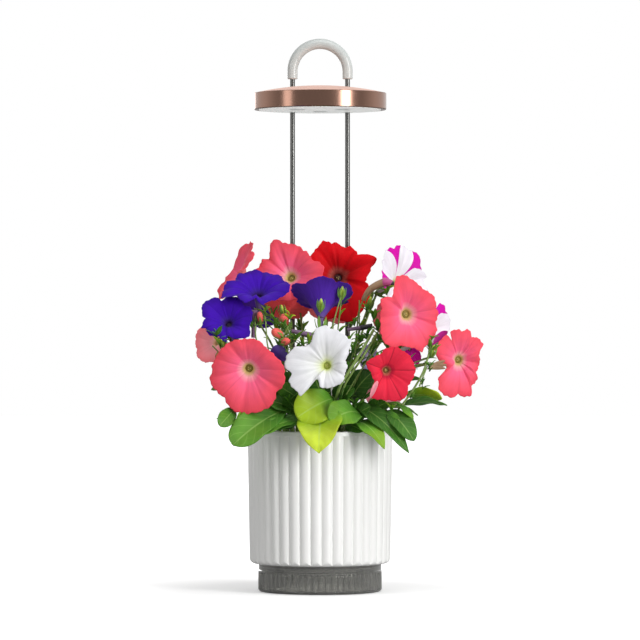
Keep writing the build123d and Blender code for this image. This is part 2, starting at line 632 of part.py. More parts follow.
# Leaves by group: base, tip, width, arch and tilt about the midrib.
LEAVES = {
    "leaves_front_left": [
        ((-30, -46, 184), (-86, -92, 153), 37, 7, -34),
        ((-84, -60, 184), (-100, -84, 168), 16, 3, -50),
        ((-66, -54, 180), (-82, -78, 170), 16, 3, -60),
        ((-18, -42, 190), (-44, -62, 216), 26, 4, 60),
        ((-22, -40, 178), (-54, -56, 192), 24, 4, -50),
        ((-90, -52, 200), (-107, -66, 204), 10, 2, -50),
    ],
    "leaves_front_centre": [
        ((12, -48, 190), (-25, -78, 178), 38, 8, -58),
        ((3, -62, 180), (-1, -98, 141), 42, 7, 4),
        ((38, -54, 176), (8, -82, 174), 32, 8, -42),
        ((8, -40, 186), (-6, -58, 218), 28, 4, 60),
        ((18, -42, 182), (26, -56, 208), 26, 4, 75),
    ],
    "leaves_front_right": [
        ((34, -54, 173), (64, -90, 146), 22, 6, 14),
        ((38, -44, 186), (87, -82, 141), 23, 9, 28),
        ((66, -50, 182), (92, -80, 153), 22, 5, 25),
        ((84, -36, 197), (120, -54, 193), 15, 3, -50),
        ((86, -40, 186), (125, -60, 187), 18, 4, -30),
        ((30, -40, 190), (52, -50, 220), 30, 4, 70),
        ((76, -54, 188), (93, -66, 170), 9, 2, 10),
    ],
    "leaves_rear": [
        ((-30, 24, 172), (-84, 62, 158), 32, 7, 12),
        ((-44, 6, 180), (-104, 20, 172), 28, 6, -10),
        ((-6, 26, 210), (-12, 74, 226), 24, 5, 0),
        ((-40, -10, 190), (-98, -26, 206), 24, 5, 16),
        ((36, 22, 172), (84, 60, 156), 30, 7, -12),
        ((46, 2, 180), (108, 18, 170), 28, 6, 10),
        ((8, 24, 192), (10, 86, 186), 26, 5, 4),
        ((44, -12, 192), (100, -14, 212), 24, 5, -16),
    ],
    "leaves_inner": [
        ((-14, -6, 196), (-46, -14, 240), 22, 4, 20),
        ((14, 2, 200), (44, 6, 244), 22, 4, -20),
        ((0, 14, 196), (-4, 38, 238), 22, 4, 0),
        ((4, -18, 206), (22, -34, 248), 20, 4, 16),
    ],
}

# Buds: tip place, the direction they point as azimuth and elevation, and stem root.
BUDS = [
    ((1, -56, 290), 10, 70, (0, -26)),
    ((22, -50, 302), 20, 74, (12, -24)),
    ((-38, -44, 284), -30, 66, (-14, -24)),
    ((-96, -66, 250), -30, 60, (-32, -24)),
    ((112, -52, 244), 30, 62, (36, -22)),
    ((50, -40, 292), 30, 62, (20, -16)),
    ((-50, 40, 300), 200, 70, (-20, 10)),
    ((52, 34, 300), 150, 70, (22, 8)),
    ((-20, 60, 268), 190, 64, (-8, 14)),
]


def buds():
    """Slim closed buds, each on its own stem tip."""
    shapes = []
    for tip, azimuth, elevation, _ in BUDS:
        frame = bloom_frame(tip, azimuth, elevation)
        shapes.append(solid_of(frame * (Pos(0, 0, -6.5) * Cone(1.6, 3.0, 9) + Pos(0, 0, -1) * Cone(3.0, 0.8, 2))))
    return shapes


def bud_tail(bud):
    tip, azimuth, elevation, _ = bud
    return Vector(*tip) - facing(azimuth, elevation) * 11


class Bed:
    """The plant pieces placed so far, which later pieces are trimmed against."""

    def __init__(self):
        self.placed = []
        for place in ROD_PLACES:
            self.keep(disc(ROD_RADIUS + 1.5, MEDIUM_TOP - 5, LAMP_UNDERSIDE, place))

    def keep(self, shape):
        self.placed.append((shape, shape.bounding_box()))

    def plant(self, shape):
        """Trim a piece where it would run through its neighbours, and keep it."""
        box = shape.bounding_box()
        for other, other_box in self.placed:
            if boxes_meet(box, other_box):
                result = shape - other
                if result is not None and result.solids():
                    shape = solid_of(result)
        self.keep(shape)
        return shape


def boxes_meet(a, b):
    return (a.min.X <= b.max.X and b.min.X <= a.max.X and a.min.Y <= b.max.Y and b.min.Y <= a.max.Y
            and a.min.Z <= b.max.Z and b.min.Z <= a.max.Z)


def plant_pieces():
    """All plant nodes, each piece grown clear of the rods and of the pieces before it."""
    bed = Bed()
    nodes = {}
    for name, (centre, azimuth, elevation, radius, lobes, _) in BLOOMS.items():
        nodes[name] = bed.plant(bloom(centre, azimuth, elevation, radius, lobes))
    nodes["buds"] = group([bed.plant(shape) for shape in buds()])
    for name, rows in LEAVES.items():
        nodes[name] = group([bed.plant(leaf(*row)) for row in rows])
    stems = {"stems_left": [], "stems_right": [], "stems_rear": []}
    for centre, azimuth, elevation, radius, _, root in BLOOMS.values():
        shape = stem((*root, MEDIUM_TOP), bloom_tail(centre, azimuth, elevation, radius))
        stems[stem_group(root)].append(shape)
    for bud in BUDS:
        stems[stem_group(bud[3])].append(stem((*bud[3], MEDIUM_TOP), bud_tail(bud), 1.0))
    for name, shapes in stems.items():
        nodes[name] = group([bed.plant(shape) for shape in shapes])
    return nodes


def stem_group(root):
    if root[1] > 6:
        return "stems_rear"
    return "stems_right" if root[0] > 0 else "stems_left"


# ---------------------------------------------------------------- all nodes
def all_nodes():
    nodes = {
        "reservoir_tank": reservoir_tank(),
        "foot_disc": foot_disc(),
        "pot_shell": pot_shell(),
        "tank_gasket": tank_gasket(),
        "rod_sleeves": rod_sleeves(),
        "rear_cover": rear_cover(),
        "fill_cap": fill_cap(),
        "planting_basket": planting_basket(),
        "wicks": wicks(),
        "growing_medium": growing_medium(),
        "rod_left": rod(ROD_PLACES[0]),
        "rod_right": rod(ROD_PLACES[1]),
        "handle_loop": handle_loop(),
        "lamp_rim": lamp_rim(),
        "lamp_top_cover": lamp_top_cover(),
        "lamp_diffuser": lamp_diffuser(),
        "lamp_lenses": lamp_lenses(),
        "led_board": led_board(),
        "led_emitters": led_emitters(),
        "heat_spreader": heat_spreader(),
        "lamp_screws": lamp_screws(),
        "board_spacers": board_spacers(),
        "driver_board": driver_board(),
        "power_inlet": power_inlet(),
        "tact_switch": tact_switch(),
        "lamp_button": lamp_button(),
        "rod_guides": rod_guides(),
        "grip_rings": grip_rings(),
    }
    nodes.update(plant_pieces())
    return nodes


os.makedirs("parts", exist_ok=True)
for node_name, node_shape in all_nodes().items():
    export_step(node_shape, f"parts/{node_name}.step")
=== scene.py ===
import bpy
import math
import random
import numpy as np
from mathutils import Matrix, Vector


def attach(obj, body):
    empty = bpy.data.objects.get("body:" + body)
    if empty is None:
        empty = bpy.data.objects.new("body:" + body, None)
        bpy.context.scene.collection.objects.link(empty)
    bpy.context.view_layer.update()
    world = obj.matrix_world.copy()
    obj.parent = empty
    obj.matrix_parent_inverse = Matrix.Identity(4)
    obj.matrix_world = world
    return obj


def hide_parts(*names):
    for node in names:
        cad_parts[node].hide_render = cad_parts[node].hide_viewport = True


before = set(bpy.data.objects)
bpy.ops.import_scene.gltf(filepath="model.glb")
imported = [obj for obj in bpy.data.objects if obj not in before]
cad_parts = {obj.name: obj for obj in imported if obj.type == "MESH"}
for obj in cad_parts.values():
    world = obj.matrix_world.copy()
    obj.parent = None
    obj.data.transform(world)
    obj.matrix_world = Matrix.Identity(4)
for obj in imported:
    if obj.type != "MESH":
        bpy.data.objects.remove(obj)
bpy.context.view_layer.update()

MM = 0.001
DICE = random.Random(41)

# ---------------------------------------------------------------- sizes, in millimetres
MEDIUM_TOP = 142.0
STEM_RADIUS = 1.3
PETAL_THICKNESS = 0.35
LEAF_THICKNESS = 0.5
SEPAL_THICKNESS = 0.4
TAIL_SAG = 5.0
PETAL_TURNS = 160
TUBE_RINGS = 8
LIMB_RINGS = 28
LEAF_STEPS = 26
LEAF_LANES = 14
LOBE_WIDTH = 45.0
LOBE_REACH = 36.0
GRANULE_COUNT = 240
GRANULE_REACH = 58.0
BASKET_BACK = 26.0

# ---------------------------------------------------------------- stage, in metres and watts
CAMERA_DISTANCE = 3.88
CAMERA_HEIGHT = 0.2713
LENS_LENGTH = 218.25
SENSOR_WIDTH = 36.0
LIGHT_DISTANCE = 2.6
AIM_HEIGHT = 0.28
FLOOR_SIZE = 14.0
SHADOW_NEAR, SHADOW_FAR = 0.14, 0.4

# ---------------------------------------------------------------- colours, as sRGB
SMOKED = "#ACACA6"
POT_WHITE = "#F1F1EF"
ROSE_RING = "#957364"
ROSE_CROWN = "#DDB8AA"
STEEL = "#686866"
LOOP_WHITE = "#BDC2C0"
DIFFUSER_WHITE = "#E6E9E6"
LENS_GREY = "#B4BAB8"
STRIPE_MAGENTA = "#CC0AA0"

# Each petal palette: heart of the tube, throat, ring round the throat, inner limb, outer limb,
# edge, back of the limb, and tube.
PALETTES = {
    "coral": ("#8A7A34", "#C8B070", "#F0A0AC", "#F6668C", "#F0566E", "#E84A5A", "#EC7078", "#E0A898"),
    "white": ("#B4BE5C", "#CCD684", "#DEE2CC", "#E3E4E2", "#E4E4E7", "#E2E2E6", "#DCDCE0", "#D0D8B8"),
    "crimson": ("#8A6A34", "#B06850", "#B81C3C", "#E22A44", "#DE2842", "#D8243E", "#F090A0", "#C07468"),
    "red": ("#3A0C08", "#7A2E28", "#A04840", "#B60810", "#CC0210", "#D00412", "#C41820", "#96302C"),
    # A lighter copy of the red palette: painted light for the red bloom that sits in the shade of the others.
    "scarlet": ("#3A0C08", "#8A3A34", "#B05048", "#F23A44", "#F23440", "#F03040", "#FF5A60", "#E05048"),
    "violet": ("#20083A", "#2A1450", "#381A88", "#3A04A0", "#3E04A8", "#340290", "#4A249A", "#6E5A86"),
    "blush": ("#C8A878", "#F0C8A0", "#FFC0C0", "#FFA4AC", "#FF9098", "#FF7E86", "#FF98A0", "#E8AC9C"),
    "striped": ("#A0A458", "#D0D69A", "#E6E4E2", "#E7E4EA", "#E8E5EC", "#E6E2EB", "#DED8E6", "#CFC0D2"),
    "magenta": ("#8A1060", "#B02090", "#D020A8", "#CC0A9E", "#C80898", "#C20692", "#C860B0", "#A87098"),
    "lilac": ("#8A8090", "#B0A8C0", "#D4CAE6", "#CABCE6", "#C0B0E0", "#B6A6DA", "#C4B6E2", "#A098B4"),
}

def bloom(palette, centre, azimuth, elevation, radius, veins, cup, ruffle, root, funnel=0.34, tube=26):
    """One bloom. A single number for veins stands for five even ones that start there."""
    if not isinstance(veins, tuple):
        veins = tuple(veins + 72 * lobe for lobe in range(5))
    return palette, centre, azimuth, elevation, radius, veins, funnel, tube, cup, ruffle, root


# Each bloom: palette, place of its limb centre, azimuth and elevation it looks along, radius,
# directions of its five mid-veins, cup, height of the ruffles, stem root, and where they differ from
# most, funnel depth as a share of the radius and tube length.
BLOOMS = {
    "bloom_coral_front_left": bloom("coral", (-71, -80, 222), -6, -8, 36.5, (92, 158, 225, 297, 362), -0.03,
                                    0.03, (-24, -30)),
    "bloom_white_front": bloom("white", (5.3, -88, 227.3), -8, 4, 33, (92, 168, 233, 296, 365), -0.06, 0.03,
                               (-6, -34)),
    "bloom_crimson_front_right": bloom("crimson", (66, -76, 221.3), 8, -4, 27, (73, 158, 238, 298, 362),
                                       -0.04, 0.03, (22, -34)),
    "bloom_coral_right_top": bloom("coral", (90, -62, 277), 24, 0, 38, (84, 150, 222, 302, 372), -0.02,
                                   0.04, (30, -20)),
    "bloom_coral_far_right": bloom("coral", (142, -36, 231), 24, -4, 33, (30, 80, 165, 262, 314), -0.04,
                                   0.04, (34, -14)),
    "bloom_red_back": bloom("red", (18, 1, 316), 0, 10, 38, (96, 160, 232, 288, 382), 0.02, 0.04, (6, -4)),
    "bloom_coral_back_left": bloom("coral", (-32, -1, 318), -16, 22, 36, (112, 182, 250, 318, 396), 0.02,
                                   0.04, (-12, -2)),
    "bloom_coral_far_left": bloom("coral", (-86, 16, 320), -74, 28, 34.5, 96, -0.05, 0.11, (-28, 0)),
    "bloom_violet_upper_left": bloom("violet", (-62, -38, 304), -6, 58, 33, (60, 108, 180, 230, 342), -0.02,
                                     0.05, (-22, -14)),
    "bloom_violet_lower_left": bloom("violet", (-92, -54, 272), -14, 34, 26, (75, 140, 208, 298, 370), 0.02,
                                     0.04, (-34, -18)),
    "bloom_violet_centre": bloom("violet", (2, -36, 296), 176, 58, 31, 90, 0.08, 0.06, (-2, -26),
                                 funnel=0.8, tube=10),
    "bloom_blush_left": bloom("blush", (-108, -18, 249), -40, 6, 22, 92, 0.05, 0.05, (-38, -8)),
    # Its lighter copy of the red palette is painted light, for a bloom in the shade of the others.
    "bloom_red_inner": bloom("scarlet", (-32, 16, 288), 176, 44, 24, 90, 0.02, 0.04, (-16, 8)),
    "bloom_striped_top_right": bloom("striped", (84, 8, 309), 44, 8, 36, (49, 105, 178, 250, 322), 0.04,
                                     0.03, (24, 4)),
    "bloom_striped_right": bloom("striped", (112, -8, 262), 46, 4, 24, (60, 140, 205, 262, 319), 0.02, 0.03,
                                 (34, 0)),
    "bloom_striped_low": bloom("magenta", (90, -30, 241), 20, -14, 14, 90, 0.02, 0.02, (30, -8), funnel=0.2,
                               tube=20),
    "bloom_lilac_inner": bloom("lilac", (50, -26, 232), -8, -10, 15, 90, 0.02, 0.04, (18, -10), tube=20),
    "bloom_coral_rear": bloom("coral", (14, 84, 300), 172, 12, 35, 100, -0.02, 0.04, (2, 20)),
    "bloom_violet_rear_left": bloom("violet", (-58, 74, 292), 196, 18, 31, 114, 0.0, 0.05, (-18, 18)),
    "bloom_coral_rear_left": bloom("coral", (-74, 66, 218), 214, 0, 34, 120, -0.02, 0.04, (-30, 14)),
    "bloom_white_rear": bloom("white", (-4, 96, 222), 178, 0, 32, 102, -0.05, 0.04, (-4, 24)),
    "bloom_coral_rear_right": bloom("coral", (84, 56, 268), 146, 8, 34, 90, -0.02, 0.05, (28, 14)),
    "bloom_crimson_rear_right": bloom("crimson", (66, 78, 208), 160, -4, 27, 98, -0.04, 0.03, (22, 20)),
}

# Outlines of the blooms that face forwards: points of the edge, across and up from the limb's centre.
OUTLINES = {
    "bloom_coral_front_left": (
        (-23.6, 22.8), (-16.1, 28.2), (-3.7, 30.3), (9.5, 30), (19.5, 20.8), (28.5, 12.5), (34.9, 5.8),
        (36.5, -2.5), (35.7, -14), (27.8, -21.5), (24.5, -33), (16.2, -39), (6.3, -41.8), (-2, -42.7),
        (-10.3, -41.8), (-17, -38), (-23.5, -27.3), (-31.1, -20.7), (-38.1, -10), (-35.2, -2.5),
        (-34.8, 5.8), (-29.5, 14)),
    "bloom_white_front": (
        (-1.8, 39.3), (3.7, 36.4), (13.6, 32.7), (21.9, 26), (24.8, 25.9), (22.8, 15.1), (19, 4.3),
        (21.5, -0.7), (18.6, -8.1), (17, -16.4), (8.6, -20.6), (0.4, -22.6), (-5.4, -21.4), (-6.4, -16.4),
        (-7, -14.4), (-9.5, -14.1), (-18.2, -25), (-23.4, -30.5), (-30, -23.9), (-36.7, -16.4), (-32.5, -8.5),
        (-40, -2.3), (-40.8, 1.8), (-36.7, 11.8), (-29.2, 18.4), (-19.7, 18), (-13.4, 22.6), (-12.6, 29.4),
        (-9.3, 36)),
    "bloom_crimson_front_right": (
        (6.7, 23.7), (-4.1, 20.8), (-5.8, 16.6), (-14, 12.9), (-20.7, 8.3), (-20.3, 5), (-15.7, -1.6),
        (-12.4, -9.9), (-14.1, -19.9), (-16.5, -26.5), (-5.8, -28.2), (2.5, -29), (12.5, -29.4),
        (19.1, -25.7), (20.8, -14.9), (24.9, -8.3), (28.2, 1.7), (25.7, 8.3), (21.6, 15.8), (15, 19.9),
        (10.8, 22.8)),
    "bloom_coral_right_top": (
        (-30.2, 15.9), (-19.4, 16.7), (-17.7, 24.2), (-13.6, 37.4), (-8.6, 38.7), (-4.5, 37.8), (3, 33.3),
        (11.3, 25), (21.2, 19.2), (23.7, 15), (25.4, 5.9), (27, 0.1), (24.5, -7.4), (26.2, -15.6),
        (21.2, -25.6), (14.6, -31.4), (10.5, -37.4), (2.2, -33.2), (-9.4, -30.7), (-16.9, -33.2),
        (-23.5, -30.7), (-28.5, -23.9), (-30.2, -7.4), (-29.3, 5.1)),
    "bloom_coral_far_right": (
        (-13, 28.4), (-8.9, 30.9), (-4.8, 30.9), (-1.8, 28.9), (3.3, 30.9), (7.4, 29.9), (8.4, 22.7),
        (13.5, 23.3), (17.6, 20.2), (20.2, 15.6), (16.6, 10.5), (15.6, 5.4), (17.6, -2.8), (14, -12),
        (16.1, -18.1), (9.5, -25.2), (11, -34.4), (3.3, -36.4), (-3.8, -33.4), (-11, -37), (-17.1, -34.4),
        (-24.2, -28.3), (-22.7, -23.2), (-24.2, -18.1), (-17.1, -10.9), (-15, -6.9), (-17.1, -4.8),
        (-25.2, 2.3), (-28.3, 7.4), (-28.3, 11.5), (-21.2, 22.7), (-16.1, 25.8), (-11, 19.7)),
    "bloom_red_back": (
        (-14.4, 34.5), (-8.9, 33.7), (-6.4, 31.2), (-1.4, 33.7), (2.7, 29.5), (7.7, 28.3), (12.7, 29.5),
        (16.8, 25.8), (20.1, 20.8), (30.1, 20.4), (35.9, 19.6), (38.8, 15.8), (37.5, 12.5), (33.4, 7.5),
        (29.2, -1.6), (27.2, -6.6), (30.1, -8.2), (30.9, -27.3), (25.1, -33.9), (16.8, -43.9),
        (10.2, -47.2), (4.4, -46.4), (-1.4, -42.2), (-12.2, -44.7), (-20, -34), (-29, -17), (-33, 0),
        (-30, 15), (-22, 26), (-18, 31)),
    "bloom_coral_back_left": (
        (-21.2, 29.7), (-14.2, 33.8), (-10.9, 32.2), (-8.4, 29.7), (-0.1, 29.3), (6.6, 28), (9.9, 26.4),
        (12.4, 23.1), (17.3, 21.4), (19.8, 17.3), (24, 12.3), (31.4, 10.6), (35.6, 5.6), (34.7, -2.6),
        (38, -8.5), (26, -20), (8, -26), (-14, -26), (-30, -15), (-34.1, 4), (-30, 5.6), (-27.9, 14.8),
        (-20.8, 14.8), (-20.4, 21.4)),
    "bloom_violet_upper_left": (
        (-33.8, -3), (-32.9, 3.6), (-31.3, 6.1), (-23.4, 6.5), (-21.3, 13.5), (-16.3, 14.4), (-6.4, 18.1),
        (-2.2, 16.4), (6, 15.6), (12.7, 13.5), (18.5, 14.4), (21.8, 12.7), (23.5, 7.7), (28.4, 5.2),
        (31.7, 2), (32.6, -3), (25.1, -8.8), (14.3, -13), (7.7, -16.3), (0, -10), (-8.9, -15.5),
        (-18.8, -8.8), (-33.8, -9.7)),
    "bloom_violet_lower_left": (
        (-27.2, 13.9), (-22.6, 18.9), (-17.2, 21.2), (-11.9, 21.6), (-8.8, 18.1), (-5, 21.6), (5.7, 22),
        (11.9, 18.1), (14.5, 12.8), (19.5, 12.8), (24.1, 8.2), (24.9, 1.3), (23.3, -6.3), (25.6, -17.8),
        (11.9, -19.3), (4.2, -23.2), (3.4, -16.3), (-5, -16.7), (-14.9, -15.5), (-23.7, -9), (-19.5, -7.9),
        (-21, 0.5), (-24.5, 2.8), (-26, 9.7)),
    "bloom_striped_top_right": (
        (-19.1, 23), (-15.8, 32.2), (-11.7, 34.6), (-8, 33), (-5.9, 35.9), (-0.9, 37.1), (4.9, 36.3),
        (9, 32.6), (14.9, 30.1), (18.6, 23), (16.5, 17.2), (18.2, 11.4), (24, 5.2), (19.8, 3.1),
        (19.8, -1), (23.1, -6.8), (16, -18), (0, -25), (-16, -17), (-22.5, 6.4), (-20.8, 17.2)),
    "bloom_striped_right": (
        (3.8, 18.9), (8.9, 26), (14, 24), (14, 18.9), (18.1, 9.7), (18.1, 0.5), (16.1, -2.5), (12, -10),
        (3.8, -19), (-8, -17), (-15, -6), (-16, 6), (-8, 15)),
    "bloom_striped_low": (
        (0, 5), (6, 3), (9, -1), (11, -6), (11, -10), (8.5, -13.5), (4.5, -13.5), (0, -9), (-5, -4), (-5, 2)),
}

# The other blooms: reach of the five lobes as a share of the radius, and depth of the notches.
LOBES = {
    "bloom_coral_far_left": ((1, 0.9, 0.95, 0.9, 0.95), 0.16),
    "bloom_violet_centre": ((0.95, 1, 1, 1, 1), 0.16),
    "bloom_lilac_inner": ((1, 0.9, 0.8, 0.8, 0.7), 0.14),
    "bloom_white_rear": ((1, 0.9, 1.05, 0.9, 1), 0.22),
    "bloom_crimson_rear_right": ((1, 0.95, 1, 1, 0.95), 0.16),
}
EVEN_LOBES = ((1, 1, 0.97, 0.97, 1), 0.1)

# Rise of a blade's width from its base, and how fast it closes to its tip.
BLADE_SHAPES = {"oval": (0.7, 0.56), "blunt": (0.95, 0.46), "pointed": (0.55, 0.86), "narrow": (0.8, 0.9)}

# Leaves by CAD node: base, tip, width, arch, tilt about the midrib, tint from dark to yellow, whose low end
# partly paints shade, and shape.
LEAVES = {
    "leaves_front_left": [
        ((-30, -46, 184), (-85, -92, 149), 36, 7, -34, 0.46, "blunt"),
        ((-84, -60, 184), (-98, -84, 168), 17, 3, -50, 0.42, "blunt"),
        ((-66, -54, 180), (-82, -78, 170), 16, 3, -60, 0.6),
        ((-18, -42, 190), (-44, -62, 216), 26, 4, 60, 0.2),
        ((-22, -40, 178), (-54, -56, 192), 24, 4, -50, 0.28),
        ((-80, -52, 197), (-106.5, -67, 203), 15, 2, -18, 0.4),
    ],
    "leaves_front_centre": [
        ((14, -48, 194), (-22, -78, 176), 38, 8, -58, 0.8, "blunt"),
        ((3, -62, 182), (-1, -95, 141), 45, 7, 4, 1.0, "pointed"),
        ((40, -54, 178), (10, -82, 172), 33, 8, -42, 0.55, "blunt"),
        ((8, -40, 186), (-6, -58, 218), 28, 4, 60, 0.14),
        ((18, -42, 182), (26, -56, 208), 26, 4, 75, 0.16),
    ],
    "leaves_front_right": [
        ((36, -54, 172), (63, -90, 146), 22, 6, 14, 0.62, "pointed"),
        ((38, -44, 186), (87, -82, 141), 22, 9, 28, 0.3, "pointed"),
        ((66, -50, 182), (92, -80, 153), 22, 5, 25, 0.3),
        ((84, -36, 197), (120, -54, 194), 17, 3, -50, 0.92),
        ((84, -40, 187), (125, -60, 187), 16, 4, -30, 0.4, "pointed"),
        ((30, -40, 190), (52, -50, 220), 30, 4, 70, 0.12),
        ((76, -54, 188), (92, -66, 172), 10, 2, 10, 0.55, "narrow"),
    ],
    "leaves_rear": [
        ((-30, 24, 172), (-84, 62, 158), 32, 7, 12, 0.4),
        ((-44, 6, 180), (-104, 20, 172), 28, 6, -10, 0.4),
        ((-6, 26, 210), (-12, 74, 226), 24, 5, 0, 0.6),
        ((-40, -10, 190), (-98, -26, 206), 24, 5, 16, 0.3),
        ((36, 22, 172), (84, 60, 156), 30, 7, -12, 0.4),
        ((46, 2, 180), (98, 20, 176), 28, 6, 10, 0.45),
        ((8, 24, 192), (10, 86, 186), 26, 5, 4, 0.9),
        ((44, -12, 192), (100, -14, 212), 24, 5, -16, 0.3),
    ],
    "leaves_inner": [
        ((-14, -6, 196), (-46, -14, 240), 22, 4, 20, 0.2),
        ((14, 2, 200), (44, 6, 244), 22, 4, -20, 0.2),
        ((0, 14, 196), (-4, 38, 238), 22, 4, 0, 0.2),
        ((4, -18, 206), (22, -34, 248), 20, 4, 16, 0.2),
    ],
}

# Small leaves that close the mass above the pot's rim: as above, their low tints again partly painted shade.
LOW_LEAVES = [
    ((-20, -62, 173), (-64, -86, 157), 21, 4, -24, 0.5, "oval"),
    ((-46, -40, 184), (-80, -60, 168), 22, 3, -40, 0.62, "blunt"),
    ((-14, -56, 175), (-42, -74, 163), 19, 3, -24, 0.3),
    ((-40, -42, 172), (-66, -58, 182), 18, 3, -55, 0.3),
    ((-26, -44, 168), (-50, -62, 172), 20, 3, -62, 0.22),
    ((-14, -44, 172), (-34, -60, 196), 20, 3, 66, 0.2),
    ((-44, -30, 188), (-70, -48, 204), 18, 3, -60, 0.3),
    ((2, -46, 170), (-16, -60, 182), 20, 3, 70, 0.14),
    ((12, -46, 168), (24, -60, 188), 22, 3, 76, 0.16),
    ((30, -44, 170), (50, -58, 186), 22, 3, 68, 0.24),
    ((44, -42, 176), (66, -56, 190), 18, 3, -50, 0.36),
    ((20, -44, 190), (34, -54, 204), 16, 3, 74, 0.3),
    ((50, -44, 172), (74, -62, 166), 16, 3, 30, 0.4),
    ((58, -40, 184), (84, -54, 184), 14, 3, -20, 0.45),
    ((26, -50, 168), (42, -70, 162), 14, 3, 50, 0.3),
    ((60, -56, 178), (78, -66, 172), 12, 2, 60, 0.4),
    ((-24, -56, 196), (-40, -64, 206), 16, 2, 70, 0.34),
]

# Buds: tip place, azimuth and elevation they point along, and stem root.
BUDS = [
    ((1, -56, 290), 10, 70, (0, -26)),
    ((22, -50, 302), 20, 74, (12, -24)),
    ((-38, -44, 284), -30, 66, (-14, -24)),
    ((-96, -66, 250), -30, 60, (-32, -24)),
    ((112, -52, 244), 30, 62, (36, -22)),
    ((50, -40, 292), 30, 62, (20, -16)),
    ((-50, 40, 300), 200, 70, (-20, 10)),
    ((52, 34, 300), 150, 70, (22, 8)),
    ((-20, 60, 268), 190, 64, (-8, 14)),
]

# Half-open coral buds among the stems: place, radii, azimuth and elevation.
CORAL_BUDS = [
    ((-59, -54, 274), (3.2, 3.2, 6.2), -20, 64),
    ((-36, -50, 273), (4.4, 4.4, 5.2), 30, 40),
    ((-42, -56, 258), (5.0, 4.6, 7.0), -60, 30),
    ((-35, -58, 250), (4.0, 4.0, 6.4), 60, 10),
    ((-98, -60, 236), (4.6, 4.0, 6.4), 40, 30),
]

# Faded flowers: finish, middle line, and radii at its two ends.
FADED = [
    ("faded_violet", ((-28, -50, 260.5), (-18, -51, 258.5), (-6, -52, 255)), 1.8, 3.4),
    ("faded_violet", ((-65, -50, 281), (-64.5, -48, 268), (-66, -46, 254)), 3.6, 2.2),
    ("faded_brown", ((43, -30, 291), (46, -31, 298), (54, -33, 305.5), (65, -34, 309)), 2.4, 4.4),
    ("faded_magenta", ((63, -34, 308.5), (67, -35, 309), (71, -36, 307)), 4.6, 3.6),
    ("faded_dark", ((70, -36, 307.5), (73.5, -36, 307)), 3.0, 2.0),
    ("faded_violet", ((27, -40, 261.5), (34, -40, 263), (41, -40, 263.4)), 1.6, 2.2),
    ("faded_dark", ((40, -40, 263.4), (46, -40, 264.6), (52, -40, 265.6)), 2.6, 2.4),
    ("faded_pale", ((80, -33, 240.6), (86, -33, 244), (92, -33, 246.5)), 1.8, 2.2),
]

# Dry narrow leaves, and the turned-over edge of a petal: finish, base, tip, width, arch and tilt.
DRY_BLADES = [
    ("faded_brown", (107, -50, 224), (123.5, -49, 231), 4.4, 1, -70),
    ("faded_brown", (107, -50, 223.5), (125, -49, 227), 4.4, 1, -60),
    ("faded_brown", (106, -50, 223), (124, -49, 223.5), 3.6, 1, -60),
    ("turned_edge", (49.5, -79.5, 195), (56.5, -78.5, 211.5), 5, 1, 64),
    ("striped_edge", (113, -14, 247), (127, -13, 260), 8, 2, -70),
    ("shaded_violet", (-32, -58, 232), (-47, -62, 244), 15, 3, 80),
]

# Stems that show between the flowers: thickness and middle line.
BARE_STEMS = [
    (1.7, ((53, -52, 262), (41, -60, 240), (26, -66, 217), (18, -62, 204), (15, -52, 190))),
    (1.3, ((56, -50, 258), (46, -58, 240), (31, -64, 219), (22, -60, 204), (18, -50, 186))),
    (1.2, ((110, -50, 250), (106, -52, 229), (96, -54, 208), (76, -50, 180), (56, -40, 160))),
    (0.9, ((106, -52, 226), (101, -54, 214), (98, -56, 206))),
    (0.9, ((44, -30, 294), (38, -32, 282), (37, -34, 264), (34, -36, 240), (24, -34, 206))),
    (0.8, ((39, -32, 291), (39, -34, 276), (39, -36, 259), (34, -38, 236))),
    (0.8, ((21, -50, 295), (11, -52, 263), (10, -50, 246), (8, -44, 212))),
    (0.8, ((-54.5, -50, 281), (-53, -54, 262), (-52, -56, 243), (-40, -50, 200))),
    (0.8, ((-64, -52, 273), (-64, -54, 262), (-63, -56, 250), (-48, -48, 206))),
    (0.7, ((-30, -50, 268), (-36, -52, 256), (-40, -54, 244), (-34, -48, 214))),
    (0.7, ((-14, -50, 262), (-26, -54, 250), (-34, -56, 240))),
    (0.7, ((66, -44, 258), (54, -52, 240), (40, -58, 222), (26, -54, 198))),
    (0.8, ((-106, -62, 246), (-96, -60, 236), (-80, -54, 216), (-56, -44, 186))),
    (0.8, ((60, -40, 270), (56, -44, 252), (46, -48, 232), (32, -46, 204))),
]

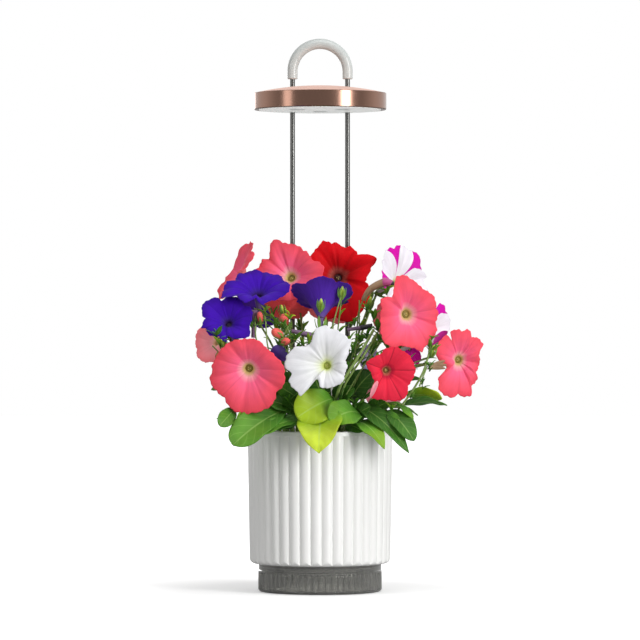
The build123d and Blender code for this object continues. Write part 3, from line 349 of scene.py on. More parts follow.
# Tufts of narrow leaves on the stems: place, number, length and tint.
TUFTS = [
    ((-67, -54, 266), 6, 11, 0.5), ((-54, -52, 278), 5, 10, 0.5), ((-45, -54, 268), 6, 10, 0.3),
    ((-36, -54, 262), 6, 11, 0.3), ((-32, -56, 248), 7, 11, 0.15), ((-24, -54, 252), 7, 11, 0.4),
    ((-18, -54, 247), 7, 10, 0.45), ((-11, -54, 247), 6, 10, 0.5), ((-30, -52, 274), 5, 9, 0.7),
    ((-41, -56, 244), 5, 10, 0.15), ((-102, -62, 254), 7, 12, 0.25), ((-98, -62, 244), 7, 13, 0.55),
    ((-93, -62, 250), 5, 10, 0.2), ((66, -36, 299), 8, 9, 0.5), ((34, -40, 268), 4, 9, 0.3),
    ((29, -48, 248), 7, 12, 0.45), ((33, -50, 240), 7, 12, 0.3), ((40, -46, 250), 6, 12, 0.25),
    ((46, -44, 254), 6, 12, 0.25), ((53, -42, 272), 6, 12, 0.3), ((57, -42, 262), 7, 13, 0.25),
    ((46, -40, 278), 6, 10, 0.3), ((60, -42, 250), 7, 14, 0.2), ((51, -44, 238), 6, 13, 0.25),
    ((109, -50, 240), 7, 14, 0.45), ((108, -52, 222), 6, 12, 0.25), ((101, -54, 206), 6, 10, 0.2),
    ((110, -50, 252), 6, 9, 0.5), ((27, -60, 222), 5, 11, 0.15), ((42, -46, 230), 5, 12, 0.2),
    ((56, -50, 228), 5, 12, 0.3), ((66, -50, 244), 6, 12, 0.3), ((90, -50, 196), 5, 10, 0.4),
    ((34, -56, 186), 5, 12, 0.3), ((-30, -56, 190), 5, 12, 0.3), ((-52, -54, 198), 5, 12, 0.25),
    ((-18, -58, 208), 5, 10, 0.2), ((58, -54, 190), 6, 12, 0.45), ((70, -54, 182), 5, 11, 0.5),
    ((-60, 30, 270), 6, 14, 0.4), ((-20, 50, 262), 6, 14, 0.4), ((30, 50, 262), 6, 14, 0.4),
    ((66, 34, 250), 6, 14, 0.35), ((0, 60, 250), 6, 14, 0.4), ((-70, 20, 240), 6, 14, 0.35),
    ((80, 10, 240), 6, 14, 0.35), ((-40, 56, 236), 6, 14, 0.35), ((44, 62, 236), 6, 14, 0.35),
]


# ---------------------------------------------------------------- modelling helpers
def deselect():
    if bpy.context.mode != "OBJECT":
        bpy.ops.object.mode_set(mode="OBJECT")
    bpy.ops.object.select_all(action="DESELECT")


def choose(*pieces):
    """Select only these pieces, the first of them active."""
    deselect()
    for piece in pieces:
        piece.select_set(True)
    bpy.context.view_layer.objects.active = pieces[0]


def new_piece(name, mesh):
    piece = bpy.data.objects.new(name, mesh)
    bpy.context.scene.collection.objects.link(piece)
    return piece


def join(name, pieces):
    choose(*pieces)
    if len(pieces) > 1:
        bpy.ops.object.join()
    piece = bpy.context.view_layer.objects.active
    piece.name = name
    piece.data.name = name
    return piece


def apply_modifier(piece, kind, **settings):
    """Give a piece one modifier and apply it."""
    choose(piece)
    modifier = piece.modifiers.new(kind, kind)
    for name, value in settings.items():
        setattr(modifier, name, value)
    bpy.ops.object.modifier_apply(modifier=modifier.name)


def points_of(mesh):
    points = np.empty(len(mesh.vertices) * 3)
    mesh.vertices.foreach_get("co", points)
    return points.reshape(-1, 3)


def corner_points(mesh):
    """Index of the point at each face corner."""
    corners = np.empty(len(mesh.loops), np.int32)
    mesh.loops.foreach_get("vertex_index", corners)
    return corners


def set_map(layer, across, along):
    layer.data.foreach_set("uv", np.stack([across, along], axis=1).astype(np.float32).ravel())


def set_points(mesh, points):
    mesh.vertices.foreach_set("co", np.ascontiguousarray(points, np.float32).ravel())
    mesh.update()


def smooth(piece):
    piece.data.shade_smooth()


# ---------------------------------------------------------------- material helpers
def linear(hex_colour, alpha=1.0):
    """sRGB hex to the linear values that the shaders take."""
    parts = [int(hex_colour[i:i + 2], 16) / 255 for i in (1, 3, 5)]
    return [p / 12.92 if p <= 0.04045 else ((p + 0.055) / 1.055) ** 2.4 for p in parts] + [alpha]


def per_metre(size):
    """How many times a pattern of this size, in millimetres, fits in a metre."""
    return 1000.0 / size


def add_node(tree, kind, inputs=None, stops=None, **settings):
    """Add a node, set it, and link or fill its inputs."""
    made = tree.nodes.new(kind)
    for name, value in settings.items():
        setattr(made, name, value)
    for key, value in (inputs or {}).items():
        if isinstance(value, bpy.types.NodeSocket):
            tree.links.new(value, made.inputs[key])
        else:
            made.inputs[key].default_value = value
    if stops:
        elements = made.color_ramp.elements
        while len(elements) < len(stops):
            elements.new(0.5)
        for element, (place, colour) in zip(elements, stops):
            element.position = place
            element.color = colour
    return made


def new_finish(name, **shader_values):
    """A material with one Principled shader, whose constants are set here."""
    material = bpy.data.materials.new(name)
    material.use_nodes = True
    tree = material.node_tree
    shader = tree.nodes["Principled BSDF"]
    for key, value in shader_values.items():
        shader.inputs[key.replace("_", " ")].default_value = value
    return material, tree, shader


def mottled(name, colour, depth, cloud, grain, bump, **shader_values):
    """A finish with faint colour clouds and a fine surface grain, both sized in millimetres.

    The real grain of moulded, turned and drawn surfaces, and of felt and down, is too fine to show, so
    theirs is drawn coarser, at 0.6 mm or more.
    """
    material, tree, shader = new_finish(name, **shader_values)
    place = add_node(tree, "ShaderNodeTexCoord")
    clouds = add_node(tree, "ShaderNodeTexNoise", {"Vector": place.outputs["Object"],
                                                   "Scale": per_metre(cloud), "Detail": 3.0})
    low = [c * (1 - depth) for c in linear(colour)[:3]] + [1.0]
    high = [min(1.0, c * (1 + depth)) for c in linear(colour)[:3]] + [1.0]
    tone = add_node(tree, "ShaderNodeValToRGB", {"Fac": clouds.outputs["Fac"]},
                    stops=[(0.3, low), (0.7, high)])
    tree.links.new(tone.outputs["Color"], shader.inputs["Base Color"])
    fine = add_node(tree, "ShaderNodeTexNoise", {"Vector": place.outputs["Object"],
                                                 "Scale": per_metre(grain), "Detail": 4.0})
    relief = add_node(tree, "ShaderNodeBump", {"Height": fine.outputs["Fac"], "Strength": bump,
                                               "Distance": 0.0002})
    tree.links.new(relief.outputs["Normal"], shader.inputs["Normal"])
    return material


# ---------------------------------------------------------------- finishes of the hardware
def smoked_polycarbonate():
    """Moulded smoked polycarbonate: dark and glossy, and lighter where light comes through."""
    return mottled("moulded_smoked_polycarbonate", SMOKED, 0.02, 55, 1.1, 0.0, Roughness=0.03, IOR=1.58,
                   Transmission_Weight=0.8, Coat_Weight=1.0, Coat_Roughness=0.02)


def white_abs():
    """Moulded ABS: bright satin gloss with a faint mould grain."""
    return mottled("moulded_white_abs", POT_WHITE, 0.012, 55, 0.7, 0.05, Roughness=0.3, IOR=1.53,
                   Coat_Weight=0.15, Coat_Roughness=0.2)


def anodised_aluminium(name, colour, rough):
    """Turned, rose-anodised aluminium: warm metal gloss, an even grain instead of fine turning marks."""
    return mottled(name, colour, 0.02, 55, 0.6, 0.03, Metallic=1.0, Roughness=rough)


def drawn_steel():
    """Drawn stainless rod: grey metal with a soft gloss."""
    return mottled("drawn_stainless_steel", STEEL, 0.03, 40, 0.8, 0.01, Metallic=1.0, Roughness=0.3)


def silicone_rubber():
    """Moulded white silicone: cool white, smooth, with a soft low gloss."""
    return mottled("moulded_white_silicone", LOOP_WHITE, 0.015, 55, 0.7, 0.02, Roughness=0.24, IOR=1.5)


def acrylic_with_painted_glow(name, colour, glow, **shader_values):
    """Opal acrylic over the board: satin white with a faint even glow, painted light that stands for light
    bounced up from below while the lamp is off.
    """
    return mottled(name, colour, 0.01, 55, 0.8, 0.02, Emission_Color=linear(colour), Emission_Strength=glow,
                   **shader_values)


def paint_hardware():
    slots = {
        "reservoir_tank": smoked_polycarbonate(),
        "pot_shell": white_abs(),
        "lamp_rim": anodised_aluminium("rose_anodised_ring", ROSE_RING, 0.2),
        "lamp_top_cover": anodised_aluminium("rose_anodised_crown", ROSE_CROWN, 0.6),
        "handle_loop": silicone_rubber(),
        # The diffuser's and lenses' glow is painted light: the lamp is off, and it stands for light bounced
        # up from below.
        "lamp_diffuser": acrylic_with_painted_glow("moulded_opal_acrylic", DIFFUSER_WHITE, 0.44, Roughness=0.35),
        "lamp_lenses": acrylic_with_painted_glow("frosted_acrylic_lens", LENS_GREY, 0.34, Roughness=0.3),
        # plain dark grey with a dull moulded sheen
        "planting_basket": mottled("moulded_grey_polypropylene", "#4A4C4E", 0.04, 50, 1.1, 0.08,
                                   Roughness=0.5),
        # dark brown, rough and crumbly
        "growing_medium": mottled("damp_coir", "#3A2A1E", 0.35, 16, 3.8, 1.0, Roughness=0.95),
        # off-white, matt and fibrous
        "wicks": mottled("pressed_wool_felt", "#D8D4C8", 0.08, 20, 1.4, 0.8, Roughness=0.95),
        # smooth satin white under the emitters
        "board": mottled("white_solder_mask", "#E8E8E2", 0.03, 40, 1.2, 0.03, Roughness=0.4),
        # smooth satin green
        "board_green": mottled("green_solder_mask", "#1C5C3C", 0.06, 40, 2.0, 0.06, Roughness=0.35),
        # small warm yellow domes
        "emitter": mottled("phosphor_resin", "#F2D870", 0.05, 20, 1.6, 0.05, Roughness=0.5),
        # bright grey metal with a soft gloss
        "plain_aluminium": mottled("rolled_aluminium", "#C4C6C8", 0.03, 50, 1.1, 0.05, Metallic=1.0,
                                   Roughness=0.35),
        # mid grey and matt
        "silicone": mottled("moulded_grey_silicone", "#5C5C5C", 0.04, 50, 1.1, 0.1, Roughness=0.7),
    }
    steel = drawn_steel()
    same = {
        "rear_cover": slots["pot_shell"], "fill_cap": slots["handle_loop"],
        "lamp_button": slots["handle_loop"], "rod_guides": slots["handle_loop"],
        "rod_left": steel, "rod_right": steel, "rod_sleeves": steel,
        "lamp_screws": steel, "power_inlet": steel, "led_board": slots["board"],
        "driver_board": slots["board_green"], "led_emitters": slots["emitter"],
        "heat_spreader": slots["plain_aluminium"], "board_spacers": slots["planting_basket"],
        "tact_switch": slots["planting_basket"], "tank_gasket": slots["silicone"],
        "foot_disc": slots["silicone"], "grip_rings": slots["silicone"],
    }
    for node, finish in {**slots, **same}.items():
        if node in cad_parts:
            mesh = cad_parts[node].data
            mesh.materials.clear()
            mesh.materials.append(finish)


# ---------------------------------------------------------------- finishes of the plants
def petal_space(tree):
    """The petal map's two axes: lobes around, and reach from the foot of the tube to the edge."""
    spot = add_node(tree, "ShaderNodeUVMap", uv_map="petal")
    axes = add_node(tree, "ShaderNodeSeparateXYZ", {"Vector": spot.outputs["UV"]})
    return spot.outputs["UV"], axes.outputs["X"], axes.outputs["Y"]


def streak_noise(tree, spot, width, length):
    """Noise drawn out along the petal, from the streaks' width and length in millimetres."""
    stretched = add_node(tree, "ShaderNodeMapping",
                         {"Vector": spot, "Scale": (LOBE_WIDTH / width, LOBE_REACH / length, 1.0)})
    return add_node(tree, "ShaderNodeTexNoise", {"Vector": stretched.outputs["Vector"], "Scale": 1.0,
                                                 "Detail": 4.0, "Roughness": 0.55}).outputs["Fac"]


def colour_and_painted_glow(tree, shader, colour, tone):
    """Scale a colour by a tone, and use it for the surface and for its faint painted glow."""
    toned = add_node(tree, "ShaderNodeVectorMath", {0: colour, "Scale": tone}, operation="SCALE")
    for use in ("Base Color", "Emission Color"):
        tree.links.new(toned.outputs["Vector"], shader.inputs[use])


def petal_face(name, palette, stripes=False, veins=0.05):
    """Petunia petal: throat to edge colour along its reach, soft folds, fine veins, matt velvet.

    Its faint glow is painted light: it stands for the light that comes through so thin a petal, and lifts the
    sides that face away from the lamps.
    """
    heart, throat, ring, inner, outer, edge = [linear(c) for c in palette[:6]]
    material, tree, shader = new_finish(name, Roughness=0.65, IOR=1.4, Specular_IOR_Level=0.18,
                                        Sheen_Weight=0.03, Sheen_Roughness=0.5, Emission_Strength=0.06)
    spot, around, along = petal_space(tree)
    base = add_node(tree, "ShaderNodeValToRGB", {"Fac": along},
                    stops=[(0.2, heart), (0.26, throat), (0.32, ring), (0.42, inner), (0.7, outer),
                           (0.97, edge)])
    colour = base.outputs["Color"]
    lobe = add_node(tree, "ShaderNodeMath", {0: around}, operation="FRACT")
    centred = add_node(tree, "ShaderNodeMath", {0: lobe.outputs["Value"], 1: 0.5}, operation="SUBTRACT")
    offset = add_node(tree, "ShaderNodeMath", {0: centred.outputs["Value"]}, operation="ABSOLUTE")
    if stripes:
        reach = add_node(tree, "ShaderNodeMapRange", {"Value": along, "From Min": 0.3, "From Max": 1.0})
        curve = add_node(tree, "ShaderNodeMath", {0: reach.outputs["Result"], 1: 2.2}, operation="POWER")
        widening = add_node(tree, "ShaderNodeMath", {0: curve.outputs["Value"], 1: 0.24, 2: 0.025},
                            operation="MULTIPLY_ADD")
        band = add_node(tree, "ShaderNodeMath", {0: offset.outputs["Value"], 1: widening.outputs["Value"]},
                        operation="LESS_THAN")
        mixed = add_node(tree, "ShaderNodeMix", {"Factor": band.outputs["Value"], 6: colour,
                                                 7: linear(STRIPE_MAGENTA)}, data_type="RGBA")
        colour = mixed.outputs[2]
    fine = streak_noise(tree, spot, 1.8, 18)
    broad = streak_noise(tree, spot, 13, 20)
    midrib = add_node(tree, "ShaderNodeMapRange", {"Value": offset.outputs["Value"], "From Min": 0.0,
                                                   "From Max": 0.035, "To Min": veins, "To Max": 0.0})
    fine_tone = add_node(tree, "ShaderNodeMapRange", {"Value": fine, "From Min": 0.3, "From Max": 0.7,
                                                      "To Min": 0.95, "To Max": 1.03})
    broad_tone = add_node(tree, "ShaderNodeMapRange", {"Value": broad, "From Min": 0.3, "From Max": 0.7,
                                                       "To Min": 0.88, "To Max": 1.06})
    tone = add_node(tree, "ShaderNodeMath", {0: fine_tone.outputs["Result"], 1: broad_tone.outputs["Result"]},
                    operation="MULTIPLY")
    shade = add_node(tree, "ShaderNodeMath", {0: tone.outputs["Value"], 1: midrib.outputs["Result"]},
                     operation="SUBTRACT")
    colour_and_painted_glow(tree, shader, colour, shade.outputs["Value"])
    relief = add_node(tree, "ShaderNodeBump", {"Height": fine, "Strength": 0.12, "Distance": 0.0006})
    tree.links.new(relief.outputs["Normal"], shader.inputs["Normal"])
    return material


def petal_back(name, palette):
    """Back of a petal: paler, with the tube's colour towards its foot and fine streaks."""
    back, tube = linear(palette[6]), linear(palette[7])
    # Its faint emission is painted light, as on the face: light through the petal and a lift on its shaded
    # side.
    material, tree, shader = new_finish(name, Roughness=0.7, IOR=1.4, Specular_IOR_Level=0.15,
                                        Sheen_Weight=0.04, Emission_Strength=0.08)
    spot, _, along = petal_space(tree)
    base = add_node(tree, "ShaderNodeValToRGB", {"Fac": along},
                    stops=[(0.12, tube), (0.42, back), (0.95, back)])
    streaks = streak_noise(tree, spot, 1.6, 20)
    tone = add_node(tree, "ShaderNodeMapRange", {"Value": streaks, "From Min": 0.3, "From Max": 0.7,
                                                 "To Min": 0.84, "To Max": 1.06})
    colour_and_painted_glow(tree, shader, base.outputs["Color"], tone.outputs["Result"])
    return material


def leaf_blade_finish():
    """Petunia leaf: soft green that yellows with age and darkens with painted shade, pale midrib and side
    veins.
    """
    # Its faint emission is painted light: light through the thin blade, and a lift for leaves in shade.
    material, tree, shader = new_finish("petunia_leaf_blade", Roughness=0.48, IOR=1.42,
                                        Specular_IOR_Level=0.35, Emission_Strength=0.06)
    tint = add_node(tree, "ShaderNodeAttribute", attribute_name="tint")
    # The dark end of the ramp is partly painted shade, for leaves deep in the mass and for each leaf's base.
    base = add_node(tree, "ShaderNodeValToRGB", {"Fac": tint.outputs["Fac"]},
                    stops=[(0.0, linear("#1E3E10")), (0.3, linear("#3A6C1C")), (0.5, linear("#5C9228")),
                           (0.8, linear("#94B01C")), (1.0, linear("#C0D438"))])
    _, across, along = petal_space(tree)
    side = add_node(tree, "ShaderNodeMath", {0: across}, operation="ABSOLUTE")
    slant = add_node(tree, "ShaderNodeMath", {0: side.outputs["Value"], 1: -0.26, 2: along},
                     operation="MULTIPLY_ADD")
    waves = add_node(tree, "ShaderNodeMath", {0: slant.outputs["Value"], 1: 44.0}, operation="MULTIPLY")
    wave = add_node(tree, "ShaderNodeMath", {0: waves.outputs["Value"]}, operation="SINE")
    side_vein = add_node(tree, "ShaderNodeMapRange", {"Value": wave.outputs["Value"], "From Min": 0.9,
                                                      "From Max": 1.0, "To Min": 0.0, "To Max": 0.14})
    midrib = add_node(tree, "ShaderNodeMapRange", {"Value": side.outputs["Value"], "From Min": 0.02,
                                                   "From Max": 0.07, "To Min": 0.36, "To Max": 0.0})
    vein = add_node(tree, "ShaderNodeMath", {0: side_vein.outputs["Result"], 1: midrib.outputs["Result"]},
                    operation="MAXIMUM")
    veined = add_node(tree, "ShaderNodeMix", {"Factor": vein.outputs["Value"], 6: base.outputs["Color"],
                                              7: linear("#A4C46A")}, data_type="RGBA")
    place = add_node(tree, "ShaderNodeTexCoord")
    cloud = add_node(tree, "ShaderNodeTexNoise", {"Vector": place.outputs["Object"], "Scale": per_metre(14),
                                                  "Detail": 4.0})
    tone = add_node(tree, "ShaderNodeMapRange", {"Value": cloud.outputs["Fac"], "From Min": 0.3,
                                                 "From Max": 0.7, "To Min": 0.82, "To Max": 1.12})
    colour_and_painted_glow(tree, shader, veined.outputs[2], tone.outputs["Result"])
    relief = add_node(tree, "ShaderNodeBump", {"Height": vein.outputs["Value"], "Strength": -0.4,
                                               "Distance": 0.001})
    tree.links.new(relief.outputs["Normal"], shader.inputs["Normal"])
    return material


def downy(name, colour):
    """Downy plant skin, as on a stem, sepal, bud or faded flower: matt with fine mottling."""
    return mottled(name, colour, 0.16, 9, 1.4, 0.5, Roughness=0.6, Sheen_Weight=0.15)


# ---------------------------------------------------------------- plant geometry
def facing(azimuth, elevation):
    """Unit vector a bloom looks along: azimuth from the front towards +X, elevation up."""
    turn, rise = math.radians(azimuth), math.radians(elevation)
    return Vector((math.sin(turn) * math.cos(rise), -math.cos(turn) * math.cos(rise), math.sin(rise)))


def bloom_axes(azimuth, elevation):
    look = facing(azimuth, elevation)
    side = Vector((0, 0, 1)).cross(look).normalized()
    return side, look.cross(side), look


def bloom_tail(spec):
    """Foot of the tube, which sags a little below the bloom's axis."""
    _, centre, azimuth, elevation, radius, _, funnel, tube, *_ = spec
    return Vector(centre) - facing(azimuth, elevation) * (funnel * radius + tube) - Vector((0, 0, TAIL_SAG))


def tube_blank():
    """A plain upright sleeve of many rings, which each bloom is shaped from."""
    deselect()
    bpy.ops.mesh.primitive_circle_add(vertices=PETAL_TURNS, radius=1.0)
    bpy.ops.object.mode_set(mode="EDIT")
    bpy.ops.mesh.select_all(action="SELECT")
    for _ in range(TUBE_RINGS + LIMB_RINGS):
        bpy.ops.mesh.extrude_region_move(TRANSFORM_OT_translate={"value": (0, 0, 1)})
    bpy.ops.object.mode_set(mode="OBJECT")
    blank = bpy.context.view_layer.objects.active
    mesh = blank.data.copy()
    bpy.data.objects.remove(blank)
    return mesh


def petal_map(mesh, around, along):
    """UV map of a petal: lobes around, reach along, closed cleanly where it meets itself."""
    layer = mesh.uv_layers.new(name="petal")
    corners = corner_points(mesh)
    across = around[corners].reshape(-1, 4)
    wraps = (across.max(axis=1) - across.min(axis=1)) > 2.5
    across[wraps] = np.where(across[wraps] < 2.5, across[wraps] + 5, across[wraps])
    set_map(layer, across.ravel(), along[corners])


def lobe_place(veins, turn):
    """Where each point lies round the bloom, in lobes: a mid-vein is at a half, a seam at a whole."""
    marks = np.array((*veins, veins[0] + 360.0))
    bearing = (np.degrees(turn) - veins[0]) % 360 + veins[0]
    return (np.interp(bearing, marks, np.arange(6.0)) + 0.5) % 5


def edge_reach(node, spec, turn, around):
    """Reach of the limb's edge: from the drawn outline, or from five even lobes."""
    azimuth, elevation, radius = spec[2:5]
    if node in OUTLINES:
        across, up = np.array(OUTLINES[node]).T
        across = across / math.cos(math.radians(azimuth))
        up = up / math.cos(math.radians(elevation))
        return np.interp(turn, np.arctan2(up, across), np.hypot(across, up), period=math.tau)
    reaches, notch = LOBES.get(node, EVEN_LOBES)
    lobe = np.floor(around).astype(int) % 5
    phase = (around % 1 - 0.5) * 2
    reach = np.array(reaches)
    near = np.where(phase > 0, reach[(lobe + 1) % 5], reach[(lobe - 1) % 5])
    seam = (reach[lobe] + near) / 2 * (1 - notch)
    blend = np.abs(phase) ** 2.8
    return radius * (reach[lobe] * (1 - blend) + seam * blend)


def shape_bloom(mesh, node, spec, dice):
    """Move the sleeve's rings into a tube, a funnel and five ruffled lobes."""
    _, centre, azimuth, elevation, radius, veins, funnel, tube_length, cup, ruffle, _ = spec
    blank = points_of(mesh)
    turn = np.arctan2(blank[:, 1], blank[:, 0])
    ring = np.round(blank[:, 2])
    around = lobe_place(veins, turn)
    phase = (around % 1 - 0.5) * 2
    limb = np.clip((ring - TUBE_RINGS) / LIMB_RINGS, 0, 1)
    tube = np.clip(ring / TUBE_RINGS, 0, 1)
    waves = [dice.uniform(0, 6.28) for _ in range(6)]
    reach = edge_reach(node, spec, turn, around)
    frill = 0.012 * np.sin(23 * turn + waves[0]) + 0.009 * np.sin(41 * turn + waves[1])
    reach = reach * (1 + limb ** 6 * frill)
    throat, foot = 0.11 * radius, 1.5
    in_tube = ring <= TUBE_RINGS
    spread = np.where(in_tube, foot + (throat - foot) * tube ** 1.6, throat + (reach - throat) * limb ** 0.92)
    depth = funnel * radius
    height = np.where(in_tube, -depth - tube_length * (1 - tube), -depth * (1 - limb) ** 2.3)
    height = height + cup * radius * limb ** 2
    broad = np.sin(3 * turn + waves[2] + 2.2 * limb) + 0.8 * np.sin(5 * turn + waves[3] - 1.6 * limb)
    fine = np.sin(11 * turn + waves[4]) + 0.6 * np.sin(19 * turn + waves[5])
    height = height + ruffle * radius * (0.65 * broad * limb ** 1.6 + 0.24 * fine * limb ** 6)
    pillow = 0.05 * radius * np.sin(np.pi * limb) * (1 - phase ** 2)
    crease = 0.016 * radius * np.exp(-(phase / 0.13) ** 2) * np.sin(np.pi * limb ** 0.8)
    seam = 0.03 * radius * np.exp(-((1 - np.abs(phase)) / 0.16) ** 2) * limb
    height = height + pillow - crease - seam
    side, up, look = [np.array(axis) for axis in bloom_axes(azimuth, elevation)]
    sag = np.array((0, 0, -TAIL_SAG))
    points = (np.array(centre) + np.outer(spread * np.cos(turn), side) + np.outer(spread * np.sin(turn), up)
              + np.outer(height, look) + np.outer((1 - tube) ** 2, sag))
    set_points(mesh, points * MM)
    petal_map(mesh, around, np.where(in_tube, 0.25 * tube, 0.25 + 0.75 * limb))


def leaf_blade(base, tip, width, arch, tilt, tint=0.5, shape="oval", steps=LEAF_STEPS, lanes=LEAF_LANES,
               out=None, thickness=LEAF_THICKNESS):
    """One leaf: a grid shaped to a blade, creased at the midrib, waved at the edge, with painted shade that
    darkens it towards its base.
    """
    base, tip = Vector(base), Vector(tip)
    along = (tip - base).normalized()
    across = (out.cross(along) if out is not None else Vector((0, 0, 1)).cross(along)).normalized()
    normal = along.cross(across)
    turn = Matrix.Rotation(math.radians(tilt), 3, along)
    across, normal = turn @ across, turn @ normal
    deselect()
    bpy.ops.mesh.primitive_grid_add(x_subdivisions=steps, y_subdivisions=lanes, size=2.0)
    piece = bpy.context.view_layer.objects.active
    mesh = piece.data
    grid = points_of(mesh)
    far, lane = (1 - np.cos(np.pi * np.clip((grid[:, 0] + 1) / 2, 0, 1))) / 2, grid[:, 1]
    rise, close = BLADE_SHAPES[shape]
    widest = rise / (rise + close)
    half = width / 2 * (far / widest) ** rise * ((1 - far) / (1 - widest)) ** close
    half = np.maximum(half, 0.25 + 0.5 * (1 - far))
    length = (tip - base).length
    wave = DICE.uniform(0, 6.28)
    lift = arch * 4 * far * (1 - far)
    outward = np.abs(lane)
    lift = lift + 0.22 * half * outward ** 1.3 + 0.05 * width * np.sin(13 * far + wave) * outward ** 3
    lift = lift - 0.02 * width * np.cos(44 * (far - 0.26 * outward)) * outward * (1 - outward) * 2
    points = (np.outer(far * length, along) + np.outer(lane * half, across) + np.outer(lift, normal)
              + np.array(base))
    set_points(mesh, points * MM)
    layer = mesh.uv_layers[0] if mesh.uv_layers else mesh.uv_layers.new()
    layer.name = "petal"
    corners = corner_points(mesh)
    set_map(layer, lane[corners], far[corners])
    tints = mesh.attributes.new("tint", "FLOAT", "POINT")
    # Painted shade: the tint falls off towards the leaf's base.
    tints.data.foreach_set("value", (tint * (0.35 + 0.65 * np.clip(far / 0.7, 0, 1))).astype(np.float32))
    apply_modifier(piece, "SOLIDIFY", thickness=thickness * MM, offset=0.0)
    smooth(piece)
    return piece


def sepal_ring(centre, look, length, width, spread, count=5):
    """Narrow sepals round the foot of a tube or bud."""
    side = Vector((0, 0, 1)).cross(look)
    side = side.normalized() if side.length > 0.01 else Vector((1, 0, 0))
    up = look.cross(side)
    blades = []
    for sepal in range(count):
        turn = math.tau * sepal / count
        out = side * math.cos(turn) + up * math.sin(turn)
        base = Vector(centre) + out * 1.2
        tip = base + (look * math.cos(spread) + out * math.sin(spread)) * length
        blades.append(leaf_blade(base, tip, width, 1.2, 0, 0.5, "narrow", 8, 4, out, SEPAL_THICKNESS))
    return blades


def leaf_tuft(place, count, length, tint, dice):
    """Narrow leaves that spread upwards and outwards from one point of a stem."""
    blades = []
    for number in range(count):
        turn = math.tau * (number + dice.uniform(-0.3, 0.3)) / count
        lean = dice.uniform(0.4, 1.3)
        way = Vector((math.cos(turn) * math.sin(lean), math.sin(turn) * math.sin(lean), math.cos(lean)))
        reach = length * dice.uniform(0.7, 1.25)
        foot = Vector(place) + Vector((0, 0, dice.uniform(-3, 3)))
        blades.append(leaf_blade(foot, foot + way * reach, reach * dice.uniform(0.2, 0.36), 1.2,
                                 dice.uniform(-40, 40), 0.16 + tint * dice.uniform(0.7, 1.3), "narrow", 8, 4,
                                 thickness=SEPAL_THICKNESS))
    return blades


def arched_points(root, tip, steps=9):
    """A stem's middle line: upright at its root, then bent over in one arc to its tip."""
    root, tip = Vector(root), Vector(tip)
    span = Vector((tip.x - root.x, tip.y - root.y, 0))
    reach, rise = span.length, tip.z - root.z
    if reach < 3:
        return [root.lerp(tip, step / steps) for step in range(steps + 1)]
    bend = (reach ** 2 + rise ** 2) / (2 * reach)
    turn = 2 * math.atan2(reach, rise)
    way = span.normalized()
    return [root + way * (bend * (1 - math.cos(turn * step / steps)))
            + Vector((0, 0, bend * math.sin(turn * step / steps))) for step in range(steps + 1)]


def stem_tubes(name, lines):
    """Round stems along their middle lines, from one radius to another, as one mesh."""
    curve = bpy.data.curves.new(name, "CURVE")
    curve.dimensions = "3D"
    curve.bevel_depth = 1.0
    curve.bevel_resolution = 2
    curve.use_fill_caps = True
    for line, thick, thin in lines:
        spline = curve.splines.new("NURBS")
        spline.points.add(len(line) - 1)
        for index, point in enumerate(line):
            spline.points[index].co = (*(Vector(point) * MM), 1)
            share = index / (len(line) - 1)
            spline.points[index].radius = (thick + (thin - thick) * share) * MM
        spline.order_u = 3
        spline.use_endpoint_u = True
    piece = new_piece(name, curve)
    choose(piece)
    bpy.ops.object.convert(target="MESH")
    piece = bpy.context.view_layer.objects.active
    smooth(piece)
    return piece


def seed_ball(centre, radii, look, mesh_name):
    """A small egg shape, its long axis along look."""
    deselect()
    bpy.ops.mesh.primitive_uv_sphere_add(segments=14, ring_count=9, radius=1.0)
    piece = bpy.context.view_layer.objects.active
    turn = Vector((0, 0, 1)).rotation_difference(look).to_matrix()
    points = points_of(piece.data) * np.array(radii)
    points = points @ np.array(turn).T + np.array(centre)
    set_points(piece.data, points * MM)
    piece.name = mesh_name
    smooth(piece)
    return piece


# ---------------------------------------------------------------- building the plants
def fill_slots(piece, *finishes):
    piece.data.materials.clear()
    for finish in finishes:
        piece.data.materials.append(finish)


def paint_all(piece, finish):
    fill_slots(piece, finish)
    piece.data.polygons.foreach_set("material_index", np.zeros(len(piece.data.polygons), np.int32))


def paint_each(pieces, finish):
    for piece in pieces:
        paint_all(piece, finish)


